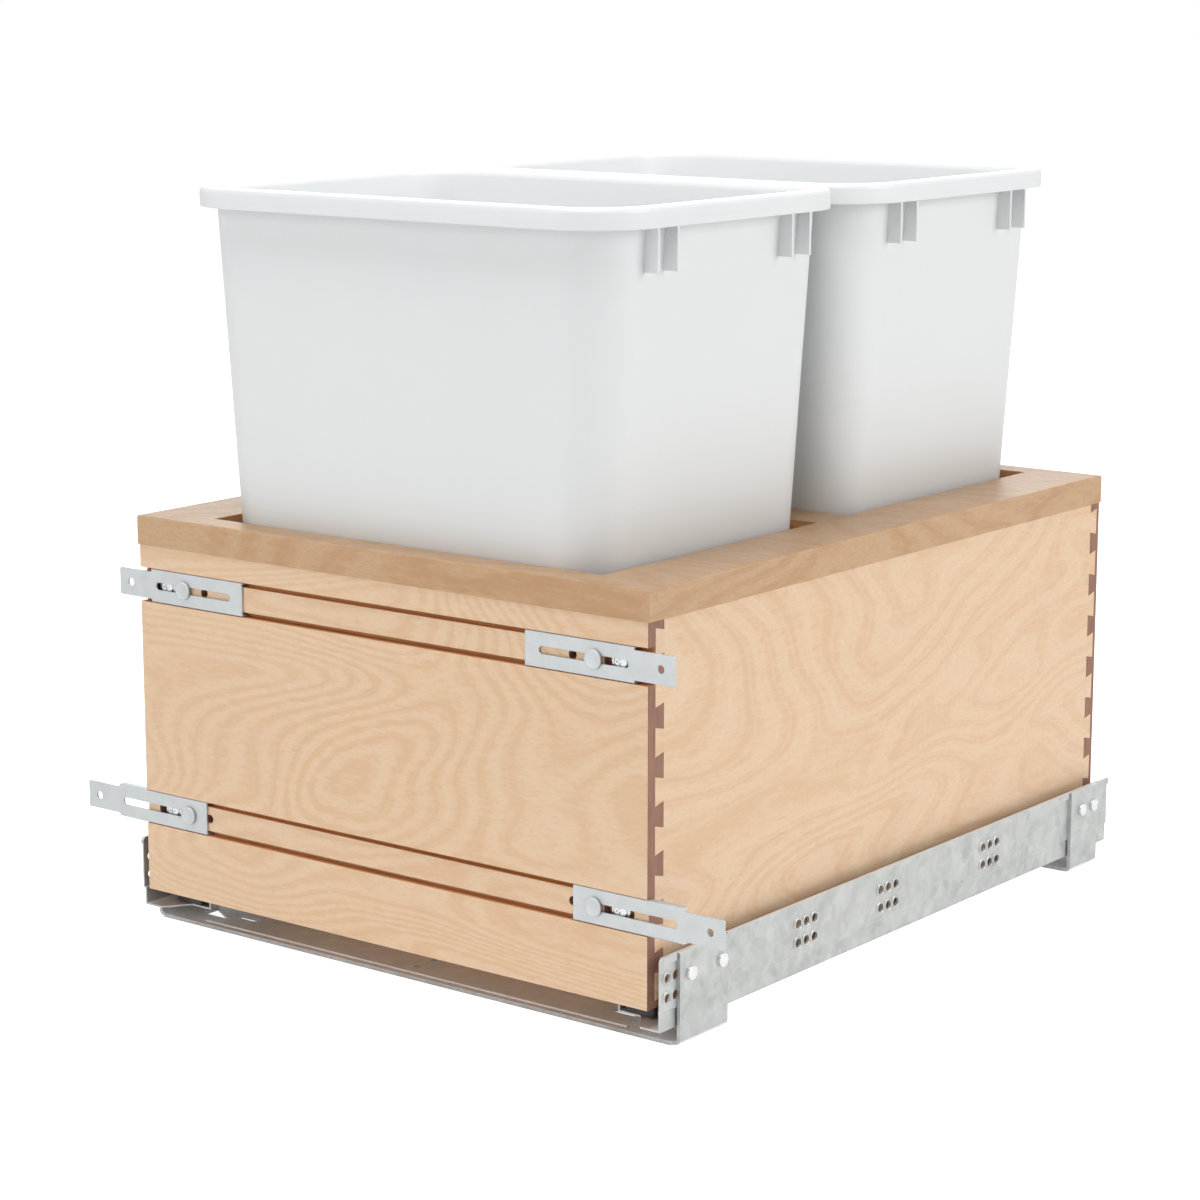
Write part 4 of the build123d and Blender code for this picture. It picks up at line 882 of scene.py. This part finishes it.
white = white_moulding("white_outside", WHITE, WHITE_SHADED)
white_lit = white_moulding("white_inside_painted_light", WHITE_LIT, WHITE_LIT_SHADED)
for node in ("front_bin", "rear_bin"):
    tub = model_bin(node)
    low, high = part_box(node)
    middle_y = (low.y + high.y) / 2
    fins = []
    for hand in (-1, 1):
        for place in FIN_PLACES:
            for end in (-1, 1):
                fins.append(model_fin("fin", hand, middle_y + end * place, node))
    join_into(tub, *fins)
    alone(tub)
    bpy.ops.object.shade_smooth_by_angle(angle=SHARP)
    weighted = tub.modifiers.new("weighted normals", "WEIGHTED_NORMAL")
    weighted.keep_sharp = True
    bpy.ops.object.modifier_apply(modifier=weighted.name)
    wipe_materials(tub, white, white_lit)
    middle = (low + high) / 2
    # Inner faces and faces turned up take the lighter white: painted light from above.
    for face in tub.data.polygons:
        inward = Vector((middle.x - face.center.x, middle.y - face.center.y, 0))
        faces_in = face.normal.dot(inward) > 0 and face.normal.z > 0.01
        inside = faces_in and face.center.z > low.z + BIN_WALL / 2
        if inside or face.normal.z > 0.6:
            face.material_index = 1
    take_finish(tub, node)

# ---------------------------------------------------------------- studio
# A white floor that glows a little under a white sky, broad soft lamps at the front, the right, the
# back and above, and a long lens a little higher than the bins.
CAMERA_PLACE = (1.2669, -1.6813, 0.6234)
CAMERA_TILT = 78.696
CAMERA_TURN = 37.749
CAMERA_LENS = 94.82
SKY_LIGHT = 0.36
FLOOR_DROP = 0.0002
FLOOR_GLOW = 0.26
FLOOR_LIFT = 0.56
FLOOR_PAINT = (0.93, 0.93, 0.93, 1)
FLOOR_PAINT_LIGHT = (0.95, 0.95, 0.95, 1)
LAMP_TARGET = (0, 0, 0.25)

bpy.ops.mesh.primitive_plane_add(size=40, location=(0, 0, -FLOOR_DROP))
floor = bpy.context.object
floor.name = "studio_floor"
paint, nodes, links, shader = new_material("floor_paint")
fine = noise(nodes, links, place_map(nodes, links, (3, 3, 3)), 2.0, 0.5)
tone = blend_colours(nodes, links, fine, FLOOR_PAINT, FLOOR_PAINT_LIGHT)
links.new(tone, shader.inputs["Base Color"])
shader.inputs["Roughness"].default_value = 0.9
shader.inputs["Specular IOR Level"].default_value = 0.1
glow = nodes.new("ShaderNodeEmission")
glow.inputs["Color"].default_value = (1, 1, 1, 1)
seen = nodes.new("ShaderNodeLightPath")
lift = nodes.new("ShaderNodeMath")
lift.inputs[1].default_value = FLOOR_LIFT
lift.operation = "MULTIPLY_ADD"
lift.inputs[2].default_value = FLOOR_GLOW
links.new(seen.outputs["Is Camera Ray"], lift.inputs[0])
links.new(lift.outputs[0], glow.inputs["Strength"])
both = nodes.new("ShaderNodeAddShader")
links.new(shader.outputs[0], both.inputs[0])
links.new(glow.outputs[0], both.inputs[1])
links.new(both.outputs[0], nodes["Material Output"].inputs["Surface"])
floor.data.materials.append(paint)

world = bpy.data.worlds.new("studio_sky")
bpy.context.scene.world = world
world.use_nodes = True
nodes, links = world.node_tree.nodes, world.node_tree.links
sky = nodes["Background"]
sky.inputs["Color"].default_value = (1, 1, 1, 1)
path = nodes.new("ShaderNodeLightPath")
direct = nodes.new("ShaderNodeMath")
direct.operation = "MAXIMUM"
links.new(path.outputs["Is Camera Ray"], direct.inputs[0])
links.new(path.outputs["Is Glossy Ray"], direct.inputs[1])
clear = nodes.new("ShaderNodeMath")
clear.operation = "MAXIMUM"
links.new(direct.outputs[0], clear.inputs[0])
links.new(path.outputs["Is Transmission Ray"], clear.inputs[1])
strength = between(nodes, links, clear.outputs[0], 0, 1, SKY_LIGHT, 1.0)
links.new(strength, sky.inputs["Strength"])


def soft_lamp(name, place, size, power):
    """A square soft box, aimed at the middle of the unit."""
    bpy.ops.object.light_add(type="AREA", location=place)
    lamp = bpy.context.object
    lamp.name = name
    lamp.data.shape = "SQUARE"
    lamp.data.size = size
    lamp.data.energy = power
    aim = Vector(LAMP_TARGET) - Vector(place)
    lamp.rotation_euler = aim.to_track_quat("-Z", "Y").to_euler()


soft_lamp("key_lamp", (-1.0, -3.0, 1.3), 2.0, 20)
soft_lamp("side_lamp", (2.6, 0.8, 1.4), 1.6, 30)
soft_lamp("top_lamp", (0.2, -0.7, 2.4), 1.0, 27)
soft_lamp("back_lamp", (-1.8, 2.4, 1.5), 1.6, 16)

bpy.ops.object.camera_add(location=CAMERA_PLACE,
                          rotation=(math.radians(CAMERA_TILT), 0, math.radians(CAMERA_TURN)))
camera = bpy.context.object
camera.name = "studio_camera"
camera.data.sensor_width = 36
camera.data.lens = CAMERA_LENS
camera.data.dof.use_dof = False
bpy.context.scene.camera = camera
bpy.context.scene.view_settings.view_transform = "Standard"
